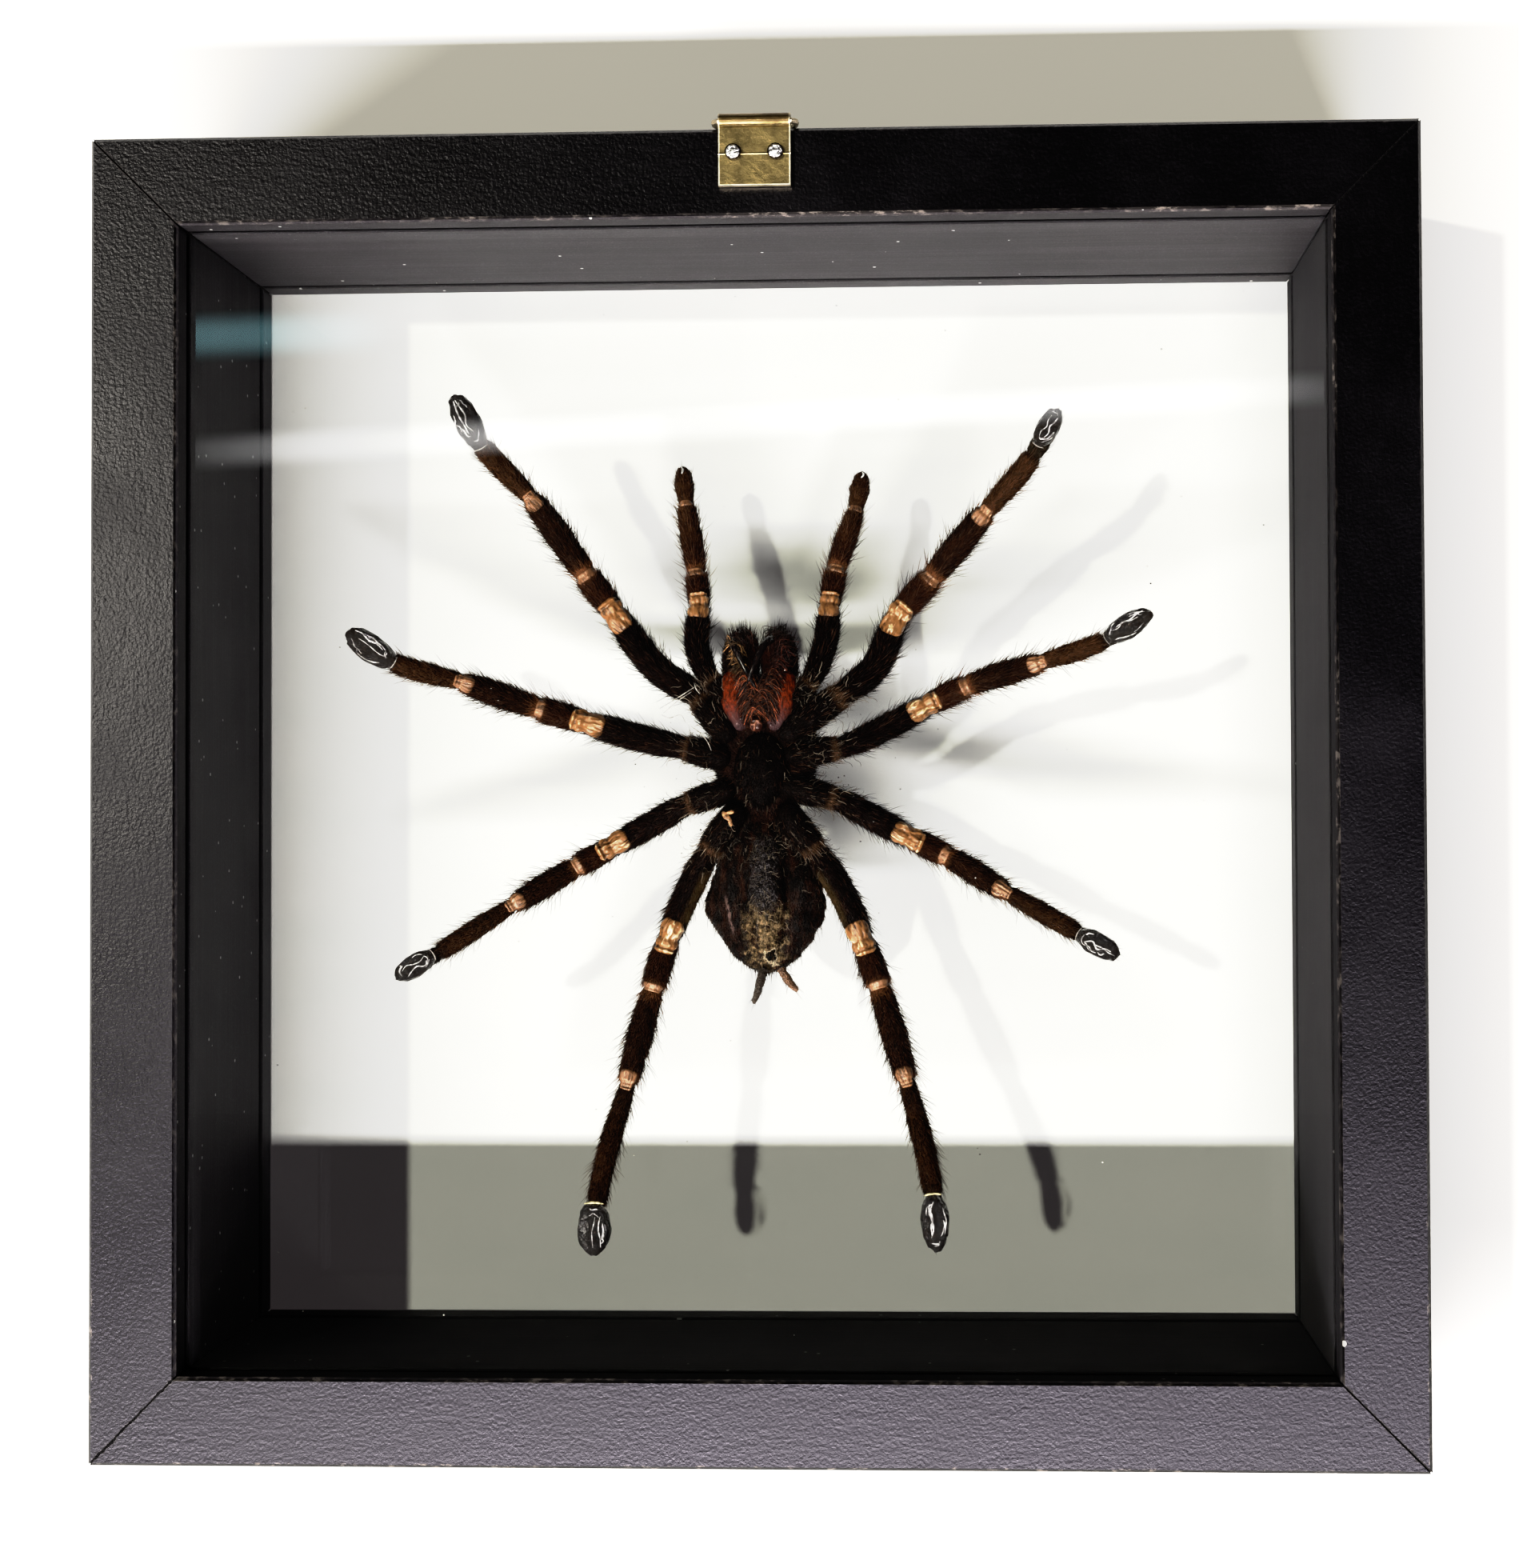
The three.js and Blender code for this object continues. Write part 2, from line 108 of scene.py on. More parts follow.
# Diameters (mm) of each article at its near end, its middle and its far end.
LEG_ARTICLES = ((4.6, 5.4, 4.8), (4, 4.8, 4.8), (4.8, 4.8, 4.2), (4.2, 4.6, 4.4), (4, 4.5, 3.8),
                (3, 3.6, 3.4), (2.8, 3.4, 2.6))
PALP_ARTICLES = ((4.6, 5.6, 4.8), (4, 4.8, 4.8), (4.8, 4.8, 4.2), (4.2, 4.6, 4.4), (4, 4.5, 3.6),
                 (3.2, 4.2, 3))

# The two articles that are halves of one femur, which has no neck where they meet.
LOWER_FEMUR, UPPER_FEMUR = 1, 2
# Points round a limb, and the station number where a limb leaves its coxa.
LIMB_SIDES = 24
LIMB_START = 0.9

# How pale the skin under each knee is, where it isn't as pale as on the last legs.
PAD_TONES = {"right_leg_1": 0.5, "right_leg_2": 0.85, "left_leg_1": 0.85, "right_pedipalp": 0.8,
             "left_pedipalp": 0.65}

# How pale the coat is beyond the tibia, by the number of the leg, where it isn't 1.1.
METATARSUS_TONES = {"1": 1.5, "2": 1.5, "4": 0.7}

# Colours of the coat along a leg: (station number, linear colour).
FEMUR_COAT = (0.0052, 0.0018, 0.001)
PATELLA_COAT = (0.027, 0.0105, 0.005)
TIBIA_COAT = (0.02, 0.0085, 0.0042)
RIM_COAT = (0.13, 0.058, 0.026)
METATARSUS_COAT = (0.046, 0.0215, 0.010)
TARSUS_COAT = (0.013, 0.009, 0.005)
OLIVE_COAT = (0.06, 0.038, 0.017)
LEG_COAT = ((1, FEMUR_COAT), (2.8, FEMUR_COAT), (3.1, PATELLA_COAT), (3.8, PATELLA_COAT),
            (3.95, RIM_COAT), (4.06, RIM_COAT), (4.12, TIBIA_COAT), (4.85, TIBIA_COAT),
            (4.97, RIM_COAT), (5.03, METATARSUS_COAT), (5.9, METATARSUS_COAT), (6.02, TARSUS_COAT),
            (7, TARSUS_COAT))
PALP_COAT = ((1, FEMUR_COAT), (2.8, FEMUR_COAT), (3.1, PATELLA_COAT), (3.75, PATELLA_COAT),
             (3.9, RIM_COAT), (4.05, RIM_COAT), (4.12, PATELLA_COAT), (4.9, METATARSUS_COAT),
             (4.98, RIM_COAT), (5.05, METATARSUS_COAT), (6, METATARSUS_COAT))
COXA_COAT = ((0, (0.003, 0.0013, 0.0009)), (0.82, (0.005, 0.0022, 0.0014)),
             (0.9, (0.11, 0.062, 0.035)), (1, (0.06, 0.032, 0.018)))
# Length of the hair along a limb, relative to the longest.
LEG_REACH = ((1, 0.75), (2.5, 0.85), (3.2, 0.95), (4.9, 1), (5.1, 0.85), (5.9, 0.75), (6.1, 0.4),
             (7, 0.3))
PALP_REACH = ((1, 0.75), (3, 0.8), (4, 0.9), (4.9, 0.9), (5.1, 0.5), (6, 0.4))


# ---- measures and colours that a user would change ----
def measure(name, text, value, **more):
    return FloatProperty(name=name, description=text, default=value, **more)


def length(name, text, value):
    return measure(name, text, value, subtype="DISTANCE", unit="LENGTH", precision=5, min=0)


def colour(name, text, value):
    return FloatVectorProperty(name=name, description=text, default=value, subtype="COLOR",
                               size=3, min=0, max=1)


class SpecimenFrameSettings(bpy.types.PropertyGroup):
    paint: colour("Paint", "Black paint of the rails", (0.0009, 0.0008, 0.001))
    paint_gloss: measure("Paint Roughness", "Roughness of the satin paint", 0.31, min=0, max=1)
    stain: colour("Inner Walls", "Thin dry paint on the inner walls, where grain shows",
                  (0.0165, 0.0148, 0.016))
    bare_wood: colour("Chips", "Wood and filler that show in chips and at the mitres",
                      (0.35, 0.31, 0.28))
    brass: colour("Brass", "Sheet and wire of the hanger", (0.27, 0.215, 0.105))
    steel: colour("Nails", "Nail heads", (0.82, 0.82, 0.80))


class SpecimenSpiderSettings(bpy.types.PropertyGroup):
    membrane: colour("Joint Membrane", "Dry golden skin under the knees", (0.26, 0.13, 0.052))
    ring_skin: colour("Joint Ring", "Tan skin between two articles", (0.24, 0.125, 0.062))
    maxilla: colour("Maxillae", "Orange red lobes beside the mouth", (0.168, 0.0275, 0.004))
    felt_length: length("Felt Length", "Longest hair of the felt", 0.0012)
    felt_width: length("Felt Width", "Width of a felt hair at its root", 0.00012)
    felt_density: measure("Felt Density", "Felt hairs per square millimetre", 9.2, min=0)
    bristle_length: length("Bristle Length", "Longest bristle", 0.0044)
    bristle_width: length("Bristle Width", "Width of a bristle at its root", 0.0001)
    bristle_density: measure("Bristle Density", "Bristles per square millimetre", 3.3, min=0)
    curl_length: length("Curl Length", "Longest pale curled hair", 0.0034)
    curl_density: measure("Curl Density", "Pale curled hairs per square millimetre", 1.1, min=0)
    seed: IntProperty(name="Seed", description="Start of everything scattered", default=7)


class SpecimenStageSettings(bpy.types.PropertyGroup):
    floor: colour("Floor", "Pale table top", (0.86, 0.86, 0.84))
    tube_light: measure("Tube Light", "Power of the long lamp beyond the foot", 440.0, min=0)
    left_light: measure("Left Light", "Strength of the light from the left", 1.3, min=0)
    ambient: measure("Room Light", "Strength of the light from all round", 0.06, min=0)


def settings():
    scene = bpy.context.scene
    return scene.specimen_frame, scene.specimen_spider, scene.specimen_stage


# ---- numbers and places ----
def in_metres(points):
    """Places given in mm round the frame's middle, as metres in the part's own frame."""
    return (np.asarray(points, float) + (0, FRAME_Y, 0)) * MM


def units(vectors):
    return vectors / np.maximum(np.linalg.norm(vectors, axis=-1, keepdims=True), 1e-12)


def along_table(numbers, table):
    """Values of a (number, value) table at these numbers; a value may be a colour."""
    keys = [key for key, _ in table]
    values = np.array([value for _, value in table], float)
    if values.ndim == 1:
        return np.interp(numbers, keys, values)
    return np.stack([np.interp(numbers, keys, values[:, i]) for i in range(values.shape[1])], -1)


def ripple(points, scale, seed=0.0, octaves=3):
    """Smooth noise from -1 to 1 at each point (mm)."""
    shift = Vector((seed * 13.7, seed * 7.1, seed * 3.3))
    return np.array([noise.fractal(Vector(p) * scale + shift, 1.0, 2.0, octaves) for p in points])


def creases(points, scale, seed=0.0):
    """Folded ridges from 0 to 1 at each point (mm)."""
    return 1 - np.clip(np.abs(ripple(points, scale, seed, 2)) * 2.6, 0, 1)


class Spine:
    """A smooth curve through the stations of a limb, with a frame at each of its places."""

    def __init__(self, stations, step=0.4):
        p = np.array(stations, float)
        gaps = np.linalg.norm(np.diff(p, axis=0), axis=1)
        chords = np.diff(p, axis=0) / gaps[:, None]
        slopes = np.vstack([chords[:1], chords[:-1], chords[-1:]])
        for i in range(1, len(p) - 1):
            near, far = gaps[i - 1], gaps[i]
            slopes[i] = (chords[i - 1] * far + chords[i] * near) / (near + far)
        places, numbers = [], []
        for i, gap in enumerate(gaps):
            count = max(2, int(math.ceil(gap / step)))
            for k in range(count + (i == len(gaps) - 1)):
                t = k / count
                places.append((2 * t ** 3 - 3 * t ** 2 + 1) * p[i]
                              + (t ** 3 - 2 * t ** 2 + t) * gap * slopes[i]
                              + (3 * t ** 2 - 2 * t ** 3) * p[i + 1]
                              + (t ** 3 - t ** 2) * gap * slopes[i + 1])
                numbers.append(i + t)
        self.places = np.array(places)
        self.numbers = np.array(numbers)
        self.ways = units(np.gradient(self.places, axis=0))
        side = np.cross(self.ways, (0, 0, 1.0))
        self.sides = units(side)
        self.fronts = np.cross(self.sides, self.ways)
        lengths = np.linalg.norm(np.diff(self.places, axis=0), axis=1)
        self.reach = np.concatenate([[0], np.cumsum(lengths)])

    def at(self, distances, values):
        """Values of this curve at these distances along it."""
        return np.stack([np.interp(distances, self.reach, values[:, i]) for i in range(3)], -1)

    def distance(self, number):
        return float(np.interp(number, self.numbers, self.reach))


def stations_of(name):
    levels = LEG_LEVELS if "leg" in name else PALP_LEVELS
    return [(x, y, z) for (x, y), z in zip(LIMBS[name][1], levels)]


def girth(name, numbers):
    """Radius (mm) of a limb at these station numbers: swollen articles with necks at the joints."""
    articles = LEG_ARTICLES if "leg" in name else PALP_ARTICLES
    stout = LIMBS[name][0]
    keys, radii = [], []
    for i, (near, middle, far) in enumerate(articles):
        keys += [i + 0.08, i + 0.5, i + 0.9]
        radii += [near / 2, middle / 2, far / 2]
        if i != UPPER_FEMUR:
            keys.append(i + 0.001)
            radii.append(near * 0.42)
        if i != LOWER_FEMUR:
            keys.append(i + 0.985)
            radii.append(far * 0.43)
    order = np.argsort(keys)
    profile = np.interp(numbers, np.array(keys)[order], np.array(radii)[order])
    return profile * stout * 0.98


# ---- meshes ----
def ring_faces(rings, sides):
    """Faces of a tube whose points are listed ring by ring, then its two poles."""
    faces = []
    for i in range(rings - 1):
        for k in range(sides):
            a, b = i * sides + k, i * sides + (k + 1) % sides
            faces.append((a, b, b + sides, a + sides))
    first, last = rings * sides, rings * sides + 1
    end = (rings - 1) * sides
    for k in range(sides):
        nxt = (k + 1) % sides
        faces.append((nxt, k, first))
        faces.append((end + k, end + nxt, last))
    return faces


class Shell:
    """Collects closed surfaces and what each point says about its hair, for one mesh."""

    CHANNELS = (("along", "FLOAT_VECTOR"), ("coat", "FLOAT_COLOR"), ("felt", "FLOAT"),
                ("bristle", "FLOAT"), ("curl", "FLOAT"), ("reach", "FLOAT"))

    def __init__(self):
        self.points, self.faces, self.slots = [], [], []
        self.channels = {name: [] for name, _ in self.CHANNELS}

    def add(self, points, faces, slot=0, along=(0, 0, 0), coat=FEMUR_COAT, felt=0.0, bristle=0.0,
            curl=0.0, reach=1.0):
        base = sum(len(block) for block in self.points)
        count = len(points)
        self.points.append(np.asarray(points, float))
        self.faces += [tuple(base + i for i in face) for face in faces]
        self.slots += [slot] * len(faces)
        given = {"along": along, "coat": coat, "felt": felt, "bristle": bristle, "curl": curl,
                 "reach": reach}
        for name, value in given.items():
            value = np.asarray(value, float)
            shape = (count, 3) if name in ("along", "coat") else (count,)
            self.channels[name].append(np.broadcast_to(value, shape))

    def build(self, name, materials):
        mesh = bpy.data.meshes.new(name)
        places = in_metres(np.vstack(self.points))
        mesh.from_pydata([tuple(p) for p in places], [], self.faces)
        for material in materials:
            mesh.materials.append(material)
        mesh.polygons.foreach_set("material_index", self.slots)
        mesh.polygons.foreach_set("use_smooth", [True] * len(self.faces))
        for channel, kind in self.CHANNELS:
            values = np.concatenate(self.channels[channel])
            layer = mesh.attributes.new(channel, kind, "POINT")
            if kind == "FLOAT_COLOR":
                values = np.hstack([values, np.ones((len(values), 1))])
                layer.data.foreach_set("color", values.ravel())
            elif kind == "FLOAT_VECTOR":
                layer.data.foreach_set("vector", values.ravel())
            else:
                layer.data.foreach_set("value", values.ravel())
        mesh.update()
        return new_object(name, mesh)


def new_object(name, mesh):
    piece = bpy.data.objects.new(name, mesh)
    bpy.context.scene.collection.objects.link(piece)
    return piece


def discard(helper):
    """Removes an object that was only needed while making others."""
    mesh = helper.data
    bpy.data.objects.remove(helper)
    bpy.data.meshes.remove(mesh)


def seat(piece, slot, *nodes, body="case"):
    """The piece moves with the body and stands for these nodes, which it hides. The slot is not
    used.
    """
    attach(piece, body)
    if nodes:
        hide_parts(*nodes)


def made_outward(piece):
    """Turns every face of a closed mesh outwards."""
    mesh = bmesh.new()
    mesh.from_mesh(piece.data)
    bmesh.ops.recalc_face_normals(mesh, faces=mesh.faces)
    mesh.to_mesh(piece.data)
    mesh.free()
    piece.data.update()


def finish_piece(shell, name, materials, slot, *nodes):
    """One piece out of a shell: built, turned outwards and seated in place of these nodes."""
    piece = shell.build(name, materials)
    made_outward(piece)
    seat(piece, slot, *nodes)
    return piece


def tube(spine, radii, sides=24, squash=1.0, rough=0.0, seed=0.0):
    """Points of a tube round a spine with rounded ends, and the way of the spine at each."""
    angles = np.linspace(0, 2 * math.pi, sides, endpoint=False)
    outs = (np.cos(angles)[None, :, None] * spine.sides[:, None, :]
            + np.sin(angles)[None, :, None] * spine.fronts[:, None, :] * squash)
    points = spine.places[:, None, :] + outs * radii[:, None, None]
    flat = points.reshape(-1, 3)
    if rough:
        lift = ripple(flat, 0.9, seed) * rough
        flat = flat + units(outs.reshape(-1, 3)) * lift[:, None]
    ends = np.array([spine.places[0] - spine.ways[0] * radii[0] * 0.3,
                     spine.places[-1] + spine.ways[-1] * radii[-1] * 0.3])
    ways = np.repeat(spine.ways, sides, axis=0)
    ways = np.vstack([ways, spine.ways[:1], spine.ways[-1:]])
    return np.vstack([flat, ends]), ring_faces(len(spine.places), sides), ways


def ball(centre, halves, columns=40, rows=24, axis=1):
    """A closed ball of points stretched to these half sizes, with its poles on the given axis."""
    tilt = np.linspace(0, math.pi, rows + 2)[1:-1]
    turn = np.linspace(0, 2 * math.pi, columns, endpoint=False)
    ring = np.sin(tilt)[:, None]
    a, b, c = ring * np.cos(turn), ring * np.sin(turn), -np.cos(tilt)[:, None] * np.ones(columns)
    order = {0: (c, a, b), 1: (b, c, a), 2: (a, b, c)}[axis]
    unit = np.stack(order, -1).reshape(-1, 3)
    poles = np.zeros((2, 3))
    poles[0, axis], poles[1, axis] = -1, 1
    unit = np.vstack([unit, poles])
    return unit, unit * halves + centre, ring_faces(rows, columns)


# ---- node wiring ----
class Wires:
    """Adds nodes to a tree and links or sets their inputs in one call."""

    def __init__(self, tree):
        self.tree = tree

    def add(self, kind, inputs=None, **options):
        node = self.tree.nodes.new(kind)
        for name, value in options.items():
            setattr(node, name, value)
        for key, value in (inputs or {}).items():
            self.feed(node.inputs[key], value)
        return node

    def feed(self, socket, value):
        if isinstance(value, bpy.types.NodeSocket):
            self.tree.links.new(value, socket)
        else:
            socket.default_value = value

    def math(self, operation, a, b=0.0, clamp=False):
        node = self.add("ShaderNodeMath", {0: a, 1: b}, operation=operation, use_clamp=clamp)
        return node.outputs[0]

    def times(self, first, *others):
        for other in others:
            first = self.math("MULTIPLY", first, other)
        return first

    def plus(self, first, *others):
        for other in others:
            first = self.math("ADD", first, other)
        return first

    def minus(self, a, b):
        return self.math("SUBTRACT", a, b)

    def absolute(self, a):
        return self.math("ABSOLUTE", a)

    def parts(self, place):
        return self.add("ShaderNodeSeparateXYZ", {0: place}).outputs

    def scaled(self, vector, factor):
        node = self.add("ShaderNodeVectorMath", {0: vector, "Scale": factor}, operation="SCALE")
        return node.outputs[0]

    def vector(self, operation, a, b=(0, 0, 0)):
        return self.add("ShaderNodeVectorMath", {0: a, 1: b}, operation=operation).outputs[0]

    def ramp(self, value, low, high, out_low=0.0, out_high=1.0):
        node = self.add("ShaderNodeMapRange", {"Value": value, "From Min": low, "From Max": high,
                                               "To Min": out_low, "To Max": out_high})
        node.interpolation_type = "SMOOTHSTEP"
        return node.outputs["Result"]

    def blend(self, share, a, b):
        node = self.add("ShaderNodeMix", data_type="RGBA")
        self.feed(node.inputs["Factor"], share)
        for socket, value in ((node.inputs[6], a), (node.inputs[7], b)):
            if isinstance(value, tuple) and len(value) == 3:
                value = (*value, 1.0)
            self.feed(socket, value)
        return node.outputs[2]

    def noise(self, place, scale, detail=3.0, roughness=0.55):
        node = self.add("ShaderNodeTexNoise", {"Vector": place, "Scale": scale, "Detail": detail,
                                               "Roughness": roughness})
        return node.outputs["Fac"]

    def stretched(self, place, scales):
        return self.vector("MULTIPLY", place, scales)

    def bump(self, height, strength, distance, normal=None):
        inputs = {"Height": height, "Strength": strength, "Distance": distance}
        if normal is not None:
            inputs["Normal"] = normal
        return self.add("ShaderNodeBump", inputs).outputs["Normal"]

    def group(self, tree, **inputs):
        node = self.tree.nodes.new("ShaderNodeGroup")
        node.node_tree = tree
        for key, value in inputs.items():
            self.feed(node.inputs[key.replace("_", " ")], value)
        return node.outputs


def shader_group(name, inputs, outputs):
    """A shader group with inputs {name: (kind, default)}, its wires and its two ends."""
    tree = bpy.data.node_groups.new(name, "ShaderNodeTree")
    for label, (kind, default) in inputs.items():
        socket = tree.interface.new_socket(label, in_out="INPUT", socket_type="NodeSocket" + kind)
        if default is not None:
            socket.default_value = default
    for label, kind in outputs.items():
        tree.interface.new_socket(label, in_out="OUTPUT", socket_type="NodeSocket" + kind)
    wires = Wires(tree)
    return tree, wires, wires.add("NodeGroupInput").outputs, wires.add("NodeGroupOutput").inputs


def speck_group():
    """Small specks of dust: a mask."""
    tree, w, given, out = shader_group(
        "dust_specks", {"Place": ("Vector", None), "Per Metre": ("Float", 200.0),
                        "Share": ("Float", 0.1), "Size": ("Float", 0.12)}, {"Mask": "Float"})
    cells = w.add("ShaderNodeTexVoronoi", {"Vector": given["Place"], "Scale": given["Per Metre"]})
    chosen = w.add("ShaderNodeSeparateColor", {"Color": cells.outputs["Color"]}).outputs[0]
    kept = w.math("LESS_THAN", chosen, given["Share"])
    near = w.math("LESS_THAN", cells.outputs["Distance"], given["Size"])
    w.feed(out["Mask"], w.times(kept, near))
    return tree


def mottle_group():
    """Two colours mixed in soft patches, with a fine height to go with them."""
    tree, w, given, out = shader_group(
        "mottle", {"Place": ("Vector", None), "Per Metre": ("Float", 300.0),
                   "First": ("Color", (0, 0, 0, 1)), "Second": ("Color", (1, 1, 1, 1)),
                   "Low": ("Float", 0.35), "High": ("Float", 0.65)},
        {"Color": "Color", "Height": "Float"})
    patches = w.noise(given["Place"], given["Per Metre"], 5.0, 0.6)
    share = w.ramp(patches, given["Low"], given["High"])
    w.feed(out["Color"], w.blend(share, given["First"], given["Second"]))
    w.feed(out["Height"], patches)
    return tree


def wrinkle_group():
    """Dry folded skin: sharp ridges between sunken facets, as a height."""
    tree, w, given, out = shader_group(
        "dry_wrinkles", {"Place": ("Vector", None), "Per Metre": ("Float", 900.0)},
        {"Height": "Float", "Ridge": "Float"})
    warp = w.add("ShaderNodeTexNoise", {"Vector": given["Place"], "Scale": given["Per Metre"]})
    bent = w.add("ShaderNodeVectorMath", {0: warp.outputs["Color"], 1: (0.0006, 0.0006, 0.0006),
                                          2: given["Place"]}, operation="MULTIPLY_ADD").outputs[0]
    folds = w.add("ShaderNodeTexVoronoi", {"Vector": bent, "Scale": given["Per Metre"]},
                  feature="DISTANCE_TO_EDGE").outputs["Distance"]
    ridge = w.ramp(folds, 0.0, 0.16, 1.0, 0.0)
    w.feed(out["Ridge"], ridge)
    w.feed(out["Height"], w.plus(ridge, w.times(warp.outputs["Fac"], 0.7)))
    return tree


def groups():
    """The shared shader groups, built on first use."""
    made = bpy.data.node_groups
    return {"specks": made.get("dust_specks") or speck_group(),
            "mottle": made.get("mottle") or mottle_group(),
            "wrinkles": made.get("dry_wrinkles") or wrinkle_group()}


def new_material(name, roughness=0.5, metallic=0.0, specular=0.5):
    """A material with an object-coordinate place, and its wires, shader and place."""
    material = bpy.data.materials.new(name)
    material.use_nodes = True
    wires = Wires(material.node_tree)
    shader = next(n for n in material.node_tree.nodes if n.type == "BSDF_PRINCIPLED")
    shader.inputs["Roughness"].default_value = roughness
    shader.inputs["Metallic"].default_value = metallic
    shader.inputs["Specular IOR Level"].default_value = specular
    place = wires.add("ShaderNodeTexCoord").outputs["Object"]
    return material, wires, shader, place


def shade(tint, factor):
    """This colour made darker or lighter."""
    return tuple(v * factor for v in tint)


def finished(name, make):
    """The material of this name, made on first use."""
    return bpy.data.materials.get(name) or make(name)


# ---- finishes of the frame ----
def paint_material(name, runs_along_x):
    """Satin black paint outside, thin dry paint with wood grain inside the box."""
    look = settings()[0]
    material, w, shader, place = new_material(name, look.paint_gloss, specular=0.3)
    shader.inputs["Specular Tint"].default_value = (0.96, 0.925, 1.0, 1.0)
    place = w.vector("SUBTRACT", place, (0, FRAME_Y * MM, 0))
    parts = w.parts(place)
    across_x, across_y = w.absolute(parts[0]), w.absolute(parts[1])
    far = w.math("MAXIMUM", across_x, across_y)
    inner = w.math("LESS_THAN", far, WALL_FACE * MM)

    def streaks(lengthwise, across, detail, roughness=0.55, deep=None):
        """Noise drawn out along the rail."""
        deep = deep or across
        scales = (lengthwise, across, deep) if runs_along_x else (across, lengthwise, deep)
        return w.noise(w.stretched(place, scales), 1.0, detail, roughness)

    def specks(per_metre, share, size):
        return w.group(groups()["specks"], Place=place, Per_Metre=per_metre, Share=share,
                       Size=size)["Mask"]

    grain = streaks(40, 1500, 6.0, 0.65)
    leather = w.noise(place, 1700.0, 2.5, 0.6)
    pebble = w.plus(leather, w.times(streaks(260, 900, 3.0), 0.5))
    clouds = w.noise(place, 45.0, 4.0)

    # Inside: thin paint over grain, with boards, dust and specks.
    stain = tuple(look.stain)
    wall = w.blend(w.ramp(grain, 0.3, 0.75), stain, shade(stain, 0.45))
    wall = w.blend(w.ramp(streaks(8.8, 330, 3.0), 0.35, 0.7, 0, 0.55), wall, shade(stain, 0.5))
    dust = w.noise(place, 2600.0, 3.0, 0.7)
    wall = w.blend(w.ramp(dust, 0.5, 0.68, 0, 0.55), wall, shade(stain, 2.4))
    boards = streaks(4, 60, 2.0, deep=160)
    wall = w.blend(w.ramp(boards, 0.45, 0.6, 0, 0.45), wall, shade(stain, 0.45))
    wall = w.blend(w.times(specks(400.0, 0.06, 0.13), 0.6), wall, (0.5, 0.5, 0.48))
    # Painted light and shade on the inner walls: the wall below the hanger is painted lightest and
    # the one at the foot darkest, the left wall lighter than the right.
    if runs_along_x:
        painted_wall_light = w.ramp(parts[1], -WALL_REACH, WALL_REACH, 0.3, 2.1)
        dry = w.ramp(parts[1], -0.09, 0.09, 0.55, 0.3)
    else:
        painted_wall_light = w.ramp(parts[0], -WALL_REACH, WALL_REACH, 1.1, 0.4)
        dry = w.ramp(parts[0], -0.09, 0.09, 0.3, 0.62)
    wall = w.scaled(wall, painted_wall_light)

    # Outside: black with faint clouds, pale brush hairlines and a few chips.
    outside = w.blend(w.ramp(clouds, 0.5, 0.85, 0, 0.5), tuple(look.paint), (0.005, 0.0045, 0.0055))
    outside = w.blend(w.ramp(pebble, 0.7, 1.05), outside, (0.0045, 0.004, 0.0048))
    hairlines = w.ramp(streaks(20, 750, 4.0, 0.7), 0.72, 0.78)
    outside = w.blend(w.times(hairlines, 0.12), outside, (0.16, 0.15, 0.16))
    outside = w.blend(specks(160.0, 0.02, 0.09), outside, (0.4, 0.39, 0.37))

    # The edges of the back are rubbed pale, most of all above the window and along the foot.
    high = w.math("GREATER_THAN", parts[2], (FRAME_DEPTH - 0.9) * MM)
    at_inner = w.ramp(w.absolute(w.minus(far, WALL_FACE * MM)), 0.0003, 0.0004, 1, 0)
    at_outer = w.ramp(w.absolute(w.minus(far, RAIL_RIM * MM)), 0.0003, 0.0005, 1, 0)
    rubbed = streaks(420, 900, 5.0, 0.7)
    least, most = (0.06, 0.6) if runs_along_x else (0.02, 0.3)
    inner_wear = w.times(at_inner, w.ramp(rubbed, 0.5, 0.62, least, most),
                         w.ramp(clouds, 0.42, 0.6, 0.2, 1.0),
                         w.ramp(parts[1], -0.09, 0.09, 0.5, 1.0))
    outer_wear = w.times(at_outer, w.ramp(rubbed, 0.55, 0.66, 0.0, 0.5),
                         w.ramp(parts[1], -0.05, -0.11, 0.1, 1.0))
    wear = w.times(w.plus(inner_wear, outer_wear), high)

    # Paint has broken along the mitres: pale ragged lips beside a crack, painted black and rough as
    # the shade inside it.
    stray = w.times(w.minus(w.noise(place, 420.0, 4.0, 0.6), 0.5), 0.0022)
    slant = w.absolute(w.plus(w.minus(across_x, across_y), stray))
    ragged = w.times(w.noise(place, 900.0, 4.0, 0.75), 0.0011)
    lip = w.math("LESS_THAN", slant, w.minus(ragged, 0.00018))
    painted_crack_shade = w.math("LESS_THAN", slant, w.minus(ragged, 0.00024))
    lower = w.ramp(w.plus(parts[0], parts[1]), 0.17, -0.12, 0.0, 1.0)
    painted_crack_shade = w.times(painted_crack_shade, lower)
    outside = w.blend(w.times(lip, w.times(lower, 0.22)), outside, tuple(look.bare_wood))
    outside = w.blend(painted_crack_shade, outside, (0.0, 0.0, 0.0))

    outer = w.minus(1.0, inner)
    colours = w.blend(inner, outside, wall)
    w.feed(shader.inputs["Base Color"], w.blend(wear, colours, tuple(look.bare_wood)))
    worn = w.ramp(clouds, 0.3, 0.75, look.paint_gloss - 0.02, look.paint_gloss + 0.04)
    rough = w.plus(worn, w.times(inner, dry), w.times(painted_crack_shade, outer, 0.6))
    w.feed(shader.inputs["Roughness"], rough)
    grain_share = w.plus(w.times(inner, 0.5), 0.06)
    height = w.plus(w.times(pebble, outer), w.times(grain, grain_share))
    w.feed(shader.inputs["Normal"], w.bump(height, 0.7, 0.00011))
    return material


def filler_material(name):
    return skin_material(name, (0.004, 0.0035, 0.004), (0.002, 0.002, 0.002),
                         (0.012, 0.01, 0.01), 0.8)


